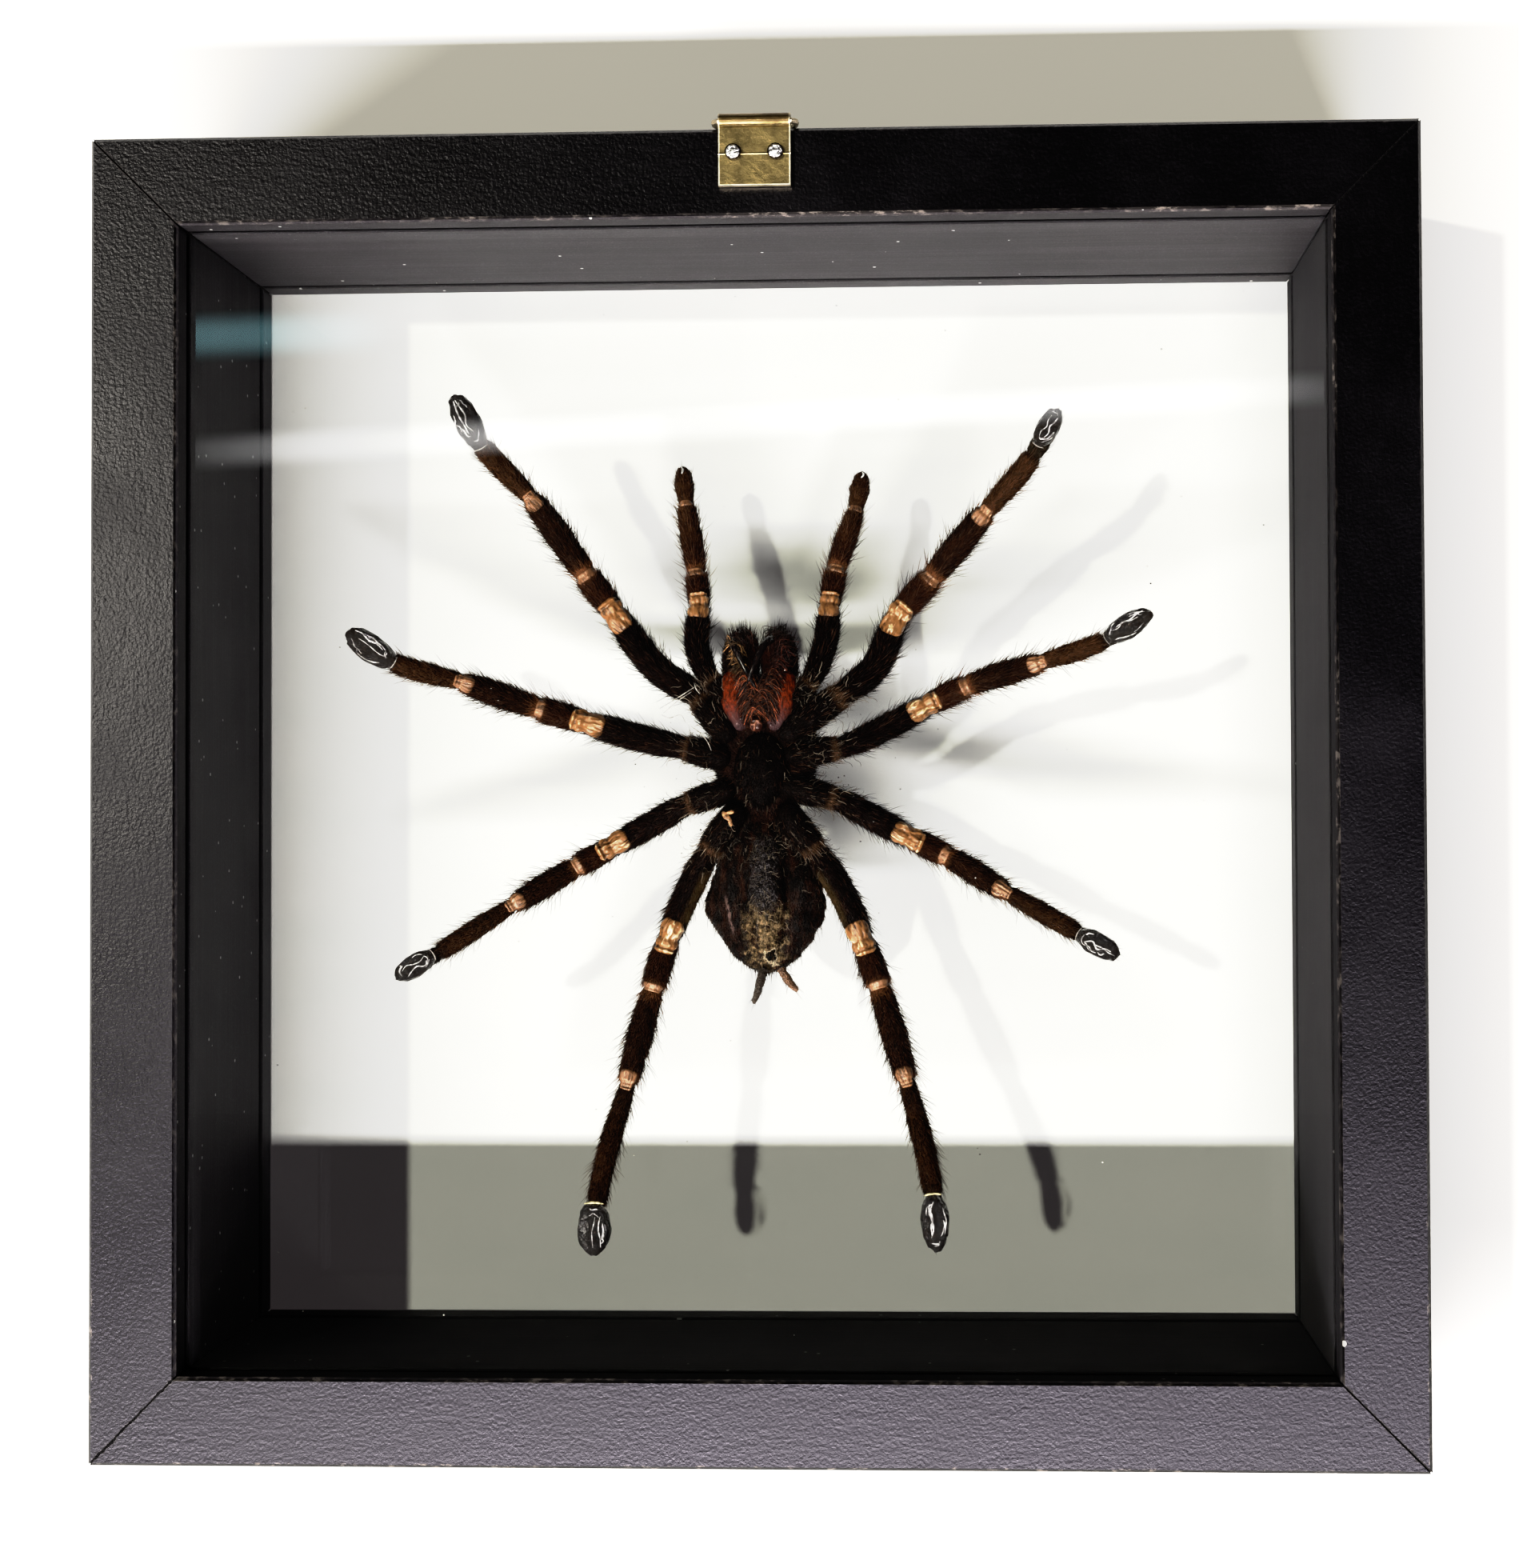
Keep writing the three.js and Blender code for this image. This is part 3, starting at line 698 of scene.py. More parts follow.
def mitre_filler():
    """Dark filler that shuts each mitre to the light, a little below the paint all round."""
    below, half_gap = 0.4, 0.12
    wall, groove = HALF_OPENING + below, HALF_OPENING + 4.3
    edge = ((RAIL_RIM, below), (wall, below), (wall, 4.6), (groove, 4.6), (groove, 8.2),
            (wall, 8.2), (wall, 41.8), (groove, 41.8), (groove, 45.4), (wall, 45.4),
            (wall, FRAME_DEPTH - below), (RAIL_RIM, FRAME_DEPTH - below))
    count = len(edge)
    faces = [tuple(range(count)), tuple(range(2 * count - 1, count - 1, -1))]
    faces += [(i, i + count, (i + 1) % count + count, (i + 1) % count) for i in range(count)]
    shell = Shell()
    for right in (-1, 1):
        for up in (-1, 1):
            points = [(right * (far + lean * half_gap), up * (far - lean * half_gap), z)
                      for lean in (-1, 1) for far, z in edge]
            shell.add(points, faces)
    return shell


def pane_material(name):
    """Clear picture glass that lets lamp light through to what is behind it."""
    material, w, shader, place = new_material(name, 0.0)
    shader.inputs["Transmission Weight"].default_value = 1.0
    shader.inputs["IOR"].default_value = 1.5
    smear = w.noise(w.stretched(place, (30, 90, 30)), 1.0, 3.0)
    tint = w.blend(w.ramp(smear, 0.4, 0.7), (0.985, 0.995, 0.99), (0.97, 0.985, 0.98))
    w.feed(shader.inputs["Base Color"], tint)
    let_through(w, shader, (0.985, 0.987, 0.985, 1))
    return material


def let_through(w, shader, tint):
    """Lamp light passes this material unbent."""
    output = next(n for n in w.tree.nodes if n.type == "OUTPUT_MATERIAL")
    clear = w.add("ShaderNodeBsdfTransparent", {"Color": tint})
    path = w.add("ShaderNodeLightPath")
    mix = w.add("ShaderNodeMixShader", {0: path.outputs["Is Shadow Ray"], 1: shader.outputs[0],
                                        2: clear.outputs[0]})
    w.feed(output.inputs["Surface"], mix.outputs[0])


# Heights up the frame (m) of the crease across the strap and of the start of its barrel.
CREASE_AT = 0.1091
BARREL_START = 0.1136


def brass_material(name):
    """Dull brass sheet with swirling scratches and stains, a painted highlight along its rim and
    painted shade on its barrel.
    """
    look = settings()[0]
    material, w, shader, place = new_material(name, 0.38, 1.0)
    low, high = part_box("hanger_strap")
    swirl = w.noise(place, 330.0, 3.0)
    turned = w.vector("ADD", place, w.stretched(swirl, (0.004, 0.004, 0.004)))
    scratches = w.noise(w.stretched(turned, (4200, 900, 900)), 1.0, 5.0, 0.75)
    arcs = w.noise(w.stretched(turned, (1000, 4200, 1000)), 1.0, 5.0, 0.75)
    stains = w.noise(place, 240.0, 4.0)
    base = w.blend(w.ramp(stains, 0.38, 0.62), tuple(look.brass), shade(look.brass, 0.42))
    base = w.blend(w.ramp(arcs, 0.5, 0.7, 0, 0.3), base, (0.5, 0.42, 0.24))
    base = w.blend(w.ramp(scratches, 0.54, 0.7, 0, 0.4), base, (0.11, 0.08, 0.04))
    parts = w.parts(place)
    # A painted highlight along the side and lower edges, as on a rounded rim catching the light.
    from_sides = w.math("MINIMUM", w.minus(parts[0], low[0]), w.minus(high[0], parts[0]))
    from_edge = w.math("MINIMUM", from_sides, w.minus(parts[1], low[1]))
    rim = w.ramp(from_edge, 0.00012, 0.0003, 1, 0)
    base = w.blend(rim, base, (0.9, 0.82, 0.6))
    # Painted shade on the curled barrel.
    painted_barrel_shade = w.ramp(parts[1], BARREL_START, BARREL_START + 0.0006)
    base = w.blend(w.times(painted_barrel_shade, 0.6), base, (0.07, 0.045, 0.022))
    w.feed(shader.inputs["Base Color"], base)
    w.feed(shader.inputs["Roughness"], w.ramp(stains, 0.3, 0.7, 0.34, 0.48))
    crease = w.ramp(w.absolute(w.minus(parts[1], CREASE_AT)), 0.0, 0.00022, 1.0, 0.0)
    height = w.plus(w.times(w.plus(scratches, arcs), 0.4), crease)
    w.feed(shader.inputs["Normal"], w.bump(height, 0.5, 0.00022))
    return material


def nail_material(name):
    """Bright hammered nail heads, with painted shade round each rim."""
    look = settings()[0]
    material, w, shader, place = new_material(name, 0.28, 1.0)
    dents = w.noise(place, 1500.0, 3.0)
    base = w.blend(w.ramp(dents, 0.36, 0.56), (0.2, 0.19, 0.19), tuple(look.steel))
    parts = w.parts(place)
    reach = None
    for nail in ("left_nail", "right_nail"):
        low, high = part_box(nail)
        away = [w.minus(parts[i], (low[i] + high[i]) / 2) for i in (0, 1)]
        away = w.math("SQRT", w.plus(w.times(away[0], away[0]), w.times(away[1], away[1])))
        away = w.math("DIVIDE", away, (high[0] - low[0]) / 2)
        reach = w.math("MINIMUM", reach, away) if reach else away
    # Painted shade round the rim of each nail head.
    base = w.blend(w.ramp(reach, 0.78, 0.9), base, (0.02, 0.015, 0.01))
    w.feed(shader.inputs["Base Color"], base)
    w.feed(shader.inputs["Normal"], w.bump(dents, 1.0, 0.0004))
    return material


# ---- finishes of the tarantula ----
def coat_of(w, name="coat"):
    return w.add("ShaderNodeAttribute", attribute_name=name).outputs


def cuticle_material(name):
    """Dark shell under the hair, in the colour of its coat."""
    material, w, shader, place = new_material(name, 0.55, specular=0.03)
    coat = coat_of(w)["Color"]
    fine = w.noise(place, 1800.0, 4.0)
    dark = w.add("ShaderNodeMix", data_type="RGBA", blend_type="MULTIPLY")
    dark.inputs["Factor"].default_value = 1.0
    w.feed(dark.inputs[6], coat)
    w.feed(dark.inputs[7], w.blend(w.ramp(fine, 0.3, 0.7), (0.35, 0.35, 0.35), (0.9, 0.9, 0.9)))
    w.feed(shader.inputs["Base Color"], dark.outputs[2])
    w.feed(shader.inputs["Roughness"], w.ramp(fine, 0.3, 0.7, 0.4, 0.7))
    w.feed(shader.inputs["Normal"], w.bump(fine, 0.6, 0.0003))
    return material


def hair_material(name, gloss, shine, pale_share):
    """A hair takes the colour of the coat it grows from; a few are pale, and tips are lighter."""
    material, w, shader, place = new_material(name, gloss, specular=shine)
    coat = coat_of(w)["Color"]
    tint = coat_of(w, "tint")["Fac"]
    rise = coat_of(w, "rise")["Fac"]
    own = w.scaled(coat, w.ramp(tint, 0.0, 1.0, 0.3, 1.9))
    pale = w.math("GREATER_THAN", tint, 1 - pale_share)
    pale = w.times(pale, w.ramp(rise, 0.0, 0.8, 0.2, 0.75))
    streaks = w.noise(place, 900.0, 2.0)
    ginger = w.blend(w.ramp(streaks, 0.4, 0.6), (0.09, 0.04, 0.02), (0.17, 0.09, 0.055))
    w.feed(shader.inputs["Base Color"], w.blend(pale, own, ginger))
    return material


def pale_hair_material(name):
    """Dry curled hairs, paler than the coat they grow from."""
    material, w, shader, _ = new_material(name, 0.4, specular=0.4)
    tint = coat_of(w, "tint")["Fac"]
    grown = w.blend(w.math("POWER", tint, 2.0), (0.08, 0.055, 0.036), (0.6, 0.5, 0.38))
    w.feed(shader.inputs["Base Color"], w.blend(0.35, grown, coat_of(w)["Color"]))
    return material


def fringe_material(name):
    """Fine shining hairs, each in the colour of its own coat."""
    material, w, shader, place = new_material(name, 0.35, specular=0.22)
    coat = coat_of(w)["Color"]
    faint = w.noise(place, 1500.0, 2.0)
    w.feed(shader.inputs["Base Color"], w.scaled(coat, w.ramp(faint, 0.35, 0.65, 0.35, 1.3)))
    return material


def skin_material(name, first, second, ridge_colour, gloss=0.32, per_metre=1300.0, strength=0.8):
    """Dry folded skin with pale ridges."""
    material, w, shader, place = new_material(name, gloss)
    patches = w.group(groups()["mottle"], Place=place, Per_Metre=per_metre * 0.4,
                      First=(*first, 1), Second=(*second, 1), Low=0.38, High=0.62)
    folds = w.group(groups()["wrinkles"], Place=place, Per_Metre=per_metre)
    base = w.blend(w.times(folds["Ridge"], 0.5), patches["Color"], ridge_colour)
    w.feed(shader.inputs["Base Color"], base)
    w.feed(shader.inputs["Normal"], w.bump(folds["Height"], strength, 0.00018))
    return material


def pleated_material(name, dark, middle, light, gloss):
    """Dry pleated skin: painted shade in the valleys and painted highlights on the folds."""
    material, w, shader, place = new_material(name, gloss)
    tone = w.add("ShaderNodeSeparateColor", {"Color": coat_of(w)["Color"]}).outputs[0]
    faint = w.noise(place, 1500.0, 4.0, 0.6)
    tone = w.plus(tone, w.times(w.minus(faint, 0.5), 0.7))
    # Low tone gets the painted valley shade, high tone the pale painted highlight colour.
    base = w.blend(w.ramp(tone, -0.12, 0.2), dark, middle)
    base = w.blend(w.ramp(tone, 0.6, 1.0), base, light)
    w.feed(shader.inputs["Base Color"], base)
    w.feed(shader.inputs["Normal"], w.bump(faint, 0.6, 0.00025))
    return material


def membrane_material(name):
    look = settings()[1].membrane
    return pleated_material(name, shade(look, 0.25), tuple(look), (0.72, 0.53, 0.32), 0.2)


def ring_skin_material(name):
    look = settings()[1].ring_skin
    return pleated_material(name, shade(look, 0.3), tuple(look), (0.45, 0.27, 0.14), 0.35)


def maxilla_material(name):
    """Orange red at the top, fading to a dusty mauve at the lower tips, with painted shade along
    the inner edges where the lobes meet.
    """
    look = tuple(settings()[1].maxilla)
    material, w, shader, place = new_material(name, 0.5, specular=0.12)
    parts = w.parts(place)
    patches = w.group(groups()["mottle"], Place=w.stretched(place, (2.2, 1.0, 1.0)),
                      Per_Metre=1100.0, First=(*look, 1), Second=(*shade(look, 0.16), 1),
                      Low=0.36, High=0.66)
    specks = w.group(groups()["specks"], Place=place, Per_Metre=1500.0, Share=0.12, Size=0.22)
    fade = w.ramp(w.plus(parts[1], w.times(patches["Height"], 0.004)), 0.0185, 0.0125)
    mauve = w.ramp(patches["Height"], 0.35, 0.65)
    tips = w.blend(mauve, (0.028, 0.013, 0.014), (0.085, 0.05, 0.052))
    tips = w.blend(w.times(specks["Mask"], 0.6), tips, (0.4, 0.33, 0.33))
    # Painted shade along the inner edge, in the gap between the two lobes.
    from_middle = w.absolute(w.plus(parts[0], 0.0003))
    lobe = w.blend(w.ramp(from_middle, 0.0022, 0.0042), (0.012, 0.003, 0.0016), patches["Color"])
    w.feed(shader.inputs["Base Color"], w.blend(fade, lobe, tips))
    w.feed(shader.inputs["Normal"], w.bump(patches["Height"], 0.7, 0.0004))
    return material


def labium_material(name):
    return skin_material(name, (0.075, 0.022, 0.014), (0.014, 0.004, 0.003), (0.3, 0.13, 0.07),
                         0.35, 500.0)


def fang_material(name):
    """Polished black horn with faint brown streaks along it."""
    material, w, shader, place = new_material(name, 0.16)
    streaks = w.noise(w.stretched(place, (2500, 300, 2500)), 1.0, 3.0)
    horn = w.blend(w.ramp(streaks, 0.5, 0.8), (0.005, 0.003, 0.003), (0.03, 0.012, 0.008))
    w.feed(shader.inputs["Base Color"], horn)
    w.feed(shader.inputs["Roughness"], w.ramp(streaks, 0.3, 0.7, 0.12, 0.3))
    return material


def abdomen_material(name):
    """Shrunken black skin; an olive patch and a strip of grey down run along the middle."""
    material, w, shader, place = new_material(name, 0.45, specular=0.08)
    parts = w.parts(place)
    black = w.group(groups()["mottle"], Place=w.stretched(place, (1.6, 0.6, 1.6)), Per_Metre=420.0,
                    First=(0.002, 0.0011, 0.0009, 1), Second=(0.026, 0.0095, 0.005, 1),
                    Low=0.42, High=0.7)["Color"]
    ragged = w.times(w.minus(w.noise(place, 500.0, 4.0), 0.5), 0.006)
    across = w.plus(w.absolute(w.minus(parts[0], 0.0007)), ragged)
    down = w.plus(parts[1], ragged)
    belly = w.math("GREATER_THAN", parts[2], 0.027)

    curls = w.noise(place, 3600.0, 2.0)
    grey = w.blend(w.ramp(curls, 0.52, 0.64), (0.008, 0.006, 0.006), (0.13, 0.115, 0.12))
    in_strip = w.times(w.ramp(across, 0.003, 0.0015), w.ramp(down, -0.008, -0.011),
                       w.ramp(down, -0.0225, -0.0195), belly)
    skin = w.blend(in_strip, black, grey)
    olive = w.group(groups()["mottle"], Place=place, Per_Metre=1500.0, First=(0.06, 0.042, 0.02, 1),
                    Second=(0.3, 0.215, 0.125, 1), Low=0.4, High=0.62)["Color"]
    in_patch = w.times(w.ramp(across, 0.0044, 0.0026), w.ramp(down, -0.0195, -0.0225),
                       w.ramp(down, -0.0335, -0.0305), belly)
    torn = w.ramp(w.noise(place, 650.0, 4.0, 0.6), 0.42, 0.56)
    skin = w.blend(w.times(in_patch, torn), skin, olive)

    # A pale streak on the right flank, painted as the highlight along a fold, and a torn hole by
    # the spinnerets with a pale rim, painted black inside as its shade.
    slip = w.plus(parts[0], w.plus(w.times(parts[1], 0.23), 0.0109))
    slip = w.plus(w.absolute(slip), w.times(w.absolute(ragged), 0.3))
    painted_fold_highlight = w.times(w.ramp(slip, 0.00055, 0.0002), w.ramp(parts[1], -0.0185, -0.0205),
                     w.ramp(parts[1], -0.0265, -0.0245), belly)
    skin = w.blend(painted_fold_highlight, skin, (0.13, 0.085, 0.075))
    hole_x, hole_y = w.minus(parts[0], 0.0019), w.plus(parts[1], 0.0298)
    hole = w.math("SQRT", w.plus(w.times(hole_x, hole_x), w.times(hole_y, hole_y)))
    hole = w.plus(hole, w.times(ragged, 0.9))
    skin = w.blend(w.ramp(hole, 0.0015, 0.0009), skin, (0.42, 0.35, 0.25))
    skin = w.blend(w.ramp(hole, 0.0008, 0.0006), skin, (0.0008, 0.0006, 0.0006))
    w.feed(shader.inputs["Base Color"], skin)
    folds = w.noise(w.stretched(place, (1500.0, 380.0, 1500.0)), 1.0, 4.0, 0.65)
    w.feed(shader.inputs["Normal"], w.bump(w.plus(folds, w.times(curls, 0.4)), 0.9, 0.0005))
    return material


def glue_material(name):
    """Clear set glue, faintly clouded, with a wavy skin."""
    material, w, shader, place = new_material(name, 0.06)
    shader.inputs["Transmission Weight"].default_value = 0.985
    shader.inputs["IOR"].default_value = 1.47
    waves = w.noise(place, 600.0, 3.0)
    cloudy = w.blend(w.ramp(waves, 0.4, 0.6), (0.86, 0.83, 0.87), (0.6, 0.56, 0.62))
    w.feed(shader.inputs["Base Color"], cloudy)
    w.feed(shader.inputs["Normal"], w.bump(waves, 1.0, 0.0012))
    let_through(w, shader, (0.9, 0.9, 0.89, 1))
    return material


# ---- shapes of the tarantula ----
def limb_shell(name):
    """One leg or pedipalp beyond its coxa: a hairy tube that swells in every article."""
    spine = Spine(stations_of(name))
    keep = spine.numbers >= LIMB_START
    for key in ("places", "numbers", "ways", "sides", "fronts", "reach"):
        setattr(spine, key, getattr(spine, key)[keep])
    last = len(stations_of(name)) - 1
    radii = girth(name, spine.numbers)
    tip = np.clip((last - spine.numbers) / 0.22, 0, 1)
    radii = radii * np.sqrt(1 - (1 - tip) ** 2 * 0.93)
    root = np.clip((spine.numbers - LIMB_START) / 0.08, 0, 1)
    radii = radii * (0.6 + 0.4 * root)
    seed = float(len(name) + spine.places[0][0])
    points, faces, ways = tube(spine, radii, LIMB_SIDES, 0.94, 0.14, seed)
    table, reach = (LEG_COAT, LEG_REACH) if "leg" in name else (PALP_COAT, PALP_REACH)
    numbers = np.concatenate([np.repeat(spine.numbers, LIMB_SIDES), spine.numbers[[0, -1]]])
    bald = np.ones(len(numbers))
    turns = np.linspace(0, 2 * math.pi, LIMB_SIDES, endpoint=False)
    angles = np.tile(turns, len(spine.places))
    belly = np.concatenate([np.sin(angles), [0, 0]])
    distances = np.interp(numbers, spine.numbers, spine.reach)
    for number, long, _, _ in membranes_of(name):
        middle = spine.distance(number)
        inside = (np.abs(distances - middle) < long * 0.46) & (belly > 0.25)
        bald[inside] = 0.0
    glued = np.clip((last - numbers) / 0.9, 0, 1)
    coat = along_table(numbers, table)
    paler = METATARSUS_TONES.get(name[-1], 1.1)
    coat = coat * np.interp(numbers, (2.9, 3.1, 4.9, 5.05), (1, 1.35, 1.35, paler))[:, None]
    if "leg_4" in name:
        inward = np.concatenate([np.cos(angles), [0, 0]]) * (-1 if "right" in name else 1)
        strip = np.clip((inward - 0.35) / 0.3, 0, 1) * np.clip((numbers - 1.3) * 4, 0, 1)
        strip = strip * np.clip((2.75 - numbers) * 4, 0, 1) * np.clip((belly + 0.5) * 3, 0, 1)
        coat = coat * (1 - strip[:, None]) + np.outer(strip, OLIVE_COAT)
        bald = bald * (1 - 0.85 * strip)
    patchy = 1 + 0.35 * ripple(points, 0.35, seed + 3, 2)
    shell = Shell()
    shell.add(points, faces, along=ways, coat=coat * patchy[:, None],
              felt=bald * (0.45 + 0.55 * glued),
              bristle=bald * np.clip(glued * 2.5, 0.1, 1) * np.clip(numbers - 0.6, 0.3, 1),
              curl=bald * np.clip(1.6 - numbers, 0, 0.7), reach=along_table(numbers, reach))
    return shell, spine


def membranes_of(name):
    """(station number, length, half spread in degrees, bulge) of the bare skin at each joint."""
    if "leg" in name:
        return ((2.96, 7.0, 78, 0.42), (3.98, 1.8, 80, 0.12), (4.97, 3.9, 62, 0.3))
    return ((2.97, 5.4, 74, 0.4), (3.97, 1.9, 74, 0.12), (4.98, 1.4, 76, 0.1))


def membrane_pad(spine, radii, number, long, spread, bulge, seed):
    """A pad of dry pleated skin let into the belly side of a joint: points, faces, and a tone for
    its painted shade and highlights.
    """
    across, down = 30, max(9, int(long * 6))
    broad_pad = long > 3
    middle = spine.distance(number)
    u = np.linspace(-1, 1, down)
    v = np.linspace(-1, 1, across)
    distances = middle + u * long / 2
    centres = spine.at(distances, spine.places)
    sides, fronts = spine.at(distances, spine.sides), spine.at(distances, spine.fronts)
    base = np.interp(distances, spine.reach, radii)
    angles = math.radians(90) + np.radians(spread) * v
    outs = (np.cos(angles)[None, :, None] * sides[:, None, :]
            + np.sin(angles)[None, :, None] * fronts[:, None, :])
    uu, vv = np.meshgrid(u, v, indexing="ij")
    corner = np.clip((np.abs(uu) - 0.45) / 0.55, 0, 1) ** 2 * 0.28
    squareness = np.abs(uu) ** 4 + np.abs(vv / (1 - corner)) ** 5
    dome = np.clip(1 - squareness, 0, 1) ** 0.5
    skin = centres[:, None, :] + outs * base[:, None, None]
    laid = np.stack([uu * long * 0.055, vv * 1.5, uu * 0], -1).reshape(-1, 3)
    broad = np.clip(1 - np.abs(ripple(laid, 1.0, seed, 3)) * 2.6, 0, 1).reshape(uu.shape)
    fine = np.clip(1 - np.abs(ripple(laid, 2.6, seed + 3, 3)) * 3.2, 0, 1).reshape(uu.shape)
    folds = np.clip(broad * 0.7 + fine * 0.45, 0, 1.2)
    lip = np.exp(-((uu - 0.84) / 0.06) ** 2) * broad_pad
    hollow = np.exp(-((uu - 0.66) / 0.08) ** 2) * broad_pad
    lift = bulge * (0.4 + 1.2 * folds + 0.7 * lip - 0.7 * hollow) * dome - 0.35 * (1 - dome)
    # Tone of the painted shading: high on the folds and the lip, low in the hollow and at the pad's
    # edge.
    tone = np.clip((folds * 1.05 + 0.5 * lip - 0.5 * hollow) * dome ** 0.5, 0, 1).ravel()
    top = (skin + outs * lift[..., None]).reshape(-1, 3)
    under = (skin - outs * 0.7).reshape(-1, 3)
    count = down * across
    faces = []
    for i in range(down - 1):
        for k in range(across - 1):
            a = i * across + k
            faces.append((a, a + across, a + across + 1, a + 1))
            faces.append((count + a, count + a + 1, count + a + across + 1, count + a + across))
    rim = (list(range(across)) + [i * across + across - 1 for i in range(1, down)]
           + [(down - 1) * across + k for k in range(across - 2, -1, -1)]
           + [i * across for i in range(down - 2, 0, -1)])
    for a, b in zip(rim, rim[1:] + rim[:1]):
        faces.append((a, b, count + b, count + a))
    return np.vstack([top, under]), faces, np.concatenate([tone, tone])


def coxa_spine(name):
    first, second = [np.array(p) for p in stations_of(name)[:2]]
    beyond = second + (second - first) * 0.04
    return Spine([first, (first + second) / 2 + (0, 0, 0.25), beyond], 0.45)


def trunk_shell():
    """Carapace, sternum, coxae, labium: one dark shell; slot 1 is the labium."""
    shell = Shell()
    middle, (wide, long, deep) = (0.6, 8.6, 29.3), (9.4, 13.4, 5.6)
    unit, points, faces = ball(middle, (wide, long, deep), 72, 44, 2)
    x, y, z = unit.T
    narrow = 1 - 0.22 * np.clip(y, 0, 1) ** 2
    fovea = np.exp(-((x * wide) ** 2 + (y * long + 2.5) ** 2) / 2.2)
    from_middle = np.hypot(x, y)
    spoke = np.cos(np.arctan2(y * long + 2.5, x * wide) * 8) * np.clip(1 - from_middle, 0, 1)
    eyes = np.exp(-((x * wide) ** 2 / 1.8 + (y * long - 11.2) ** 2 / 1.1))
    under = np.clip(-z, 0, 1)
    points[:, 0] = middle[0] + x * wide * narrow
    points[:, 2] += under * (fovea * 1.3 + np.clip(spoke, 0, 1) * 0.28 * (from_middle > 0.2)
                             - eyes * 1.1 + 0.5 * np.clip(y, -1, 0.2))
    points[:, 2] = np.clip(points[:, 2], 23.4, 33.2)
    ways = units(np.stack([x * 0.6, y + 0.25, np.zeros_like(x)], -1) + (0, 1e-3, 0))
    shell.add(points, faces, along=ways, coat=(0.014, 0.006, 0.004), felt=0.9, bristle=0.35,
              reach=0.7)
    middle, (wide, long, deep) = (0.3, 4.6, 33.4), (4.9, 6.8, 2.2)
    unit, points, faces = ball(middle, (wide, long, deep), 40, 22, 2)
    points[:, 0] = middle[0] + unit[:, 0] * wide * (1 - 0.3 * np.clip(-unit[:, 1], 0, 1) ** 1.5)
    points[:, 2] += ripple(points, 0.4, 4) * 0.35
    rim = np.clip(np.hypot(unit[:, 0], unit[:, 1]) * 1.3 - 0.3, 0, 1)
    shell.add(points, faces, along=(0, -1, 0), coat=(0.0028, 0.0012, 0.0009), felt=0.9, bristle=0.6,
              curl=rim * 0.35, reach=0.6)
    for name in LIMBS:
        spine = coxa_spine(name)
        stout = LIMBS[name][0]
        t = spine.numbers / 2
        radii = np.interp(t, (0, 0.12, 0.5, 0.88, 0.97, 1), (1.3, 2.25, 2.6, 2.35, 2.1, 1.2))
        points, faces, ways = tube(spine, radii * stout, LIMB_SIDES, 0.95, 0.22, len(name) + stout)
        light = np.concatenate([np.repeat(t, LIMB_SIDES), [0, 1]])
        shell.add(points, faces, along=ways, coat=along_table(light, COXA_COAT), felt=0.9,
                  bristle=0.7, curl=np.clip(light * 2.5 - 0.4, 0, 1) * 0.8, reach=0.6)
    middle, (wide, long, deep) = (-0.5, 12.7, 34.2), (1.1, 1.15, 1.0)
    unit, points, faces = ball(middle, (wide, long, deep), 28, 16, 2)
    square = np.sign(unit[:, :2]) * np.abs(unit[:, :2]) ** 0.75
    points[:, :2] = middle[:2] + square * (wide, long)
    points[:, 2] += np.exp(-((unit[:, 1] - 0.7) / 0.18) ** 2) * 0.35
    shell.add(points, faces, 1, felt=0.0)
    return shell


def maxilla_points(side):
    """An orange lobe beside the mouth: broad above, drawn in to a blunt tip below."""
    top = np.array((-0.1 + side * 4.5, 22.6, 31.9))
    middle = np.array((-0.3 + side * 4.3, 17.6, 32.9))
    tip = np.array((-0.45 + side * 2.75, 11.9, 33.6))
    spine = Spine([top, middle, tip], 0.35)
    t = spine.numbers / 2
    radii = np.interp(t, (0, 0.08, 0.3, 0.55, 0.8, 0.95, 1), (1.0, 1.9, 2.45, 2.6, 2.0, 1.3, 0.6))
    points, faces, _ = tube(spine, radii, 32, 0.72, 0.05, 9 + side)
    inner = np.clip((points[:, 0] + 0.3) * -side + 3.4, 0, 1.6)
    points[:, 2] -= inner * 0.45
    return points, faces


def hair_arc(knots, width):
    """Points and faces of one fine three-sided hair through these knots."""
    spine = Spine(knots, 0.3)
    t = np.linspace(0, 1, len(spine.places))
    return tube(spine, width / 2 * (1 - 0.8 * t) + 0.01, 3)


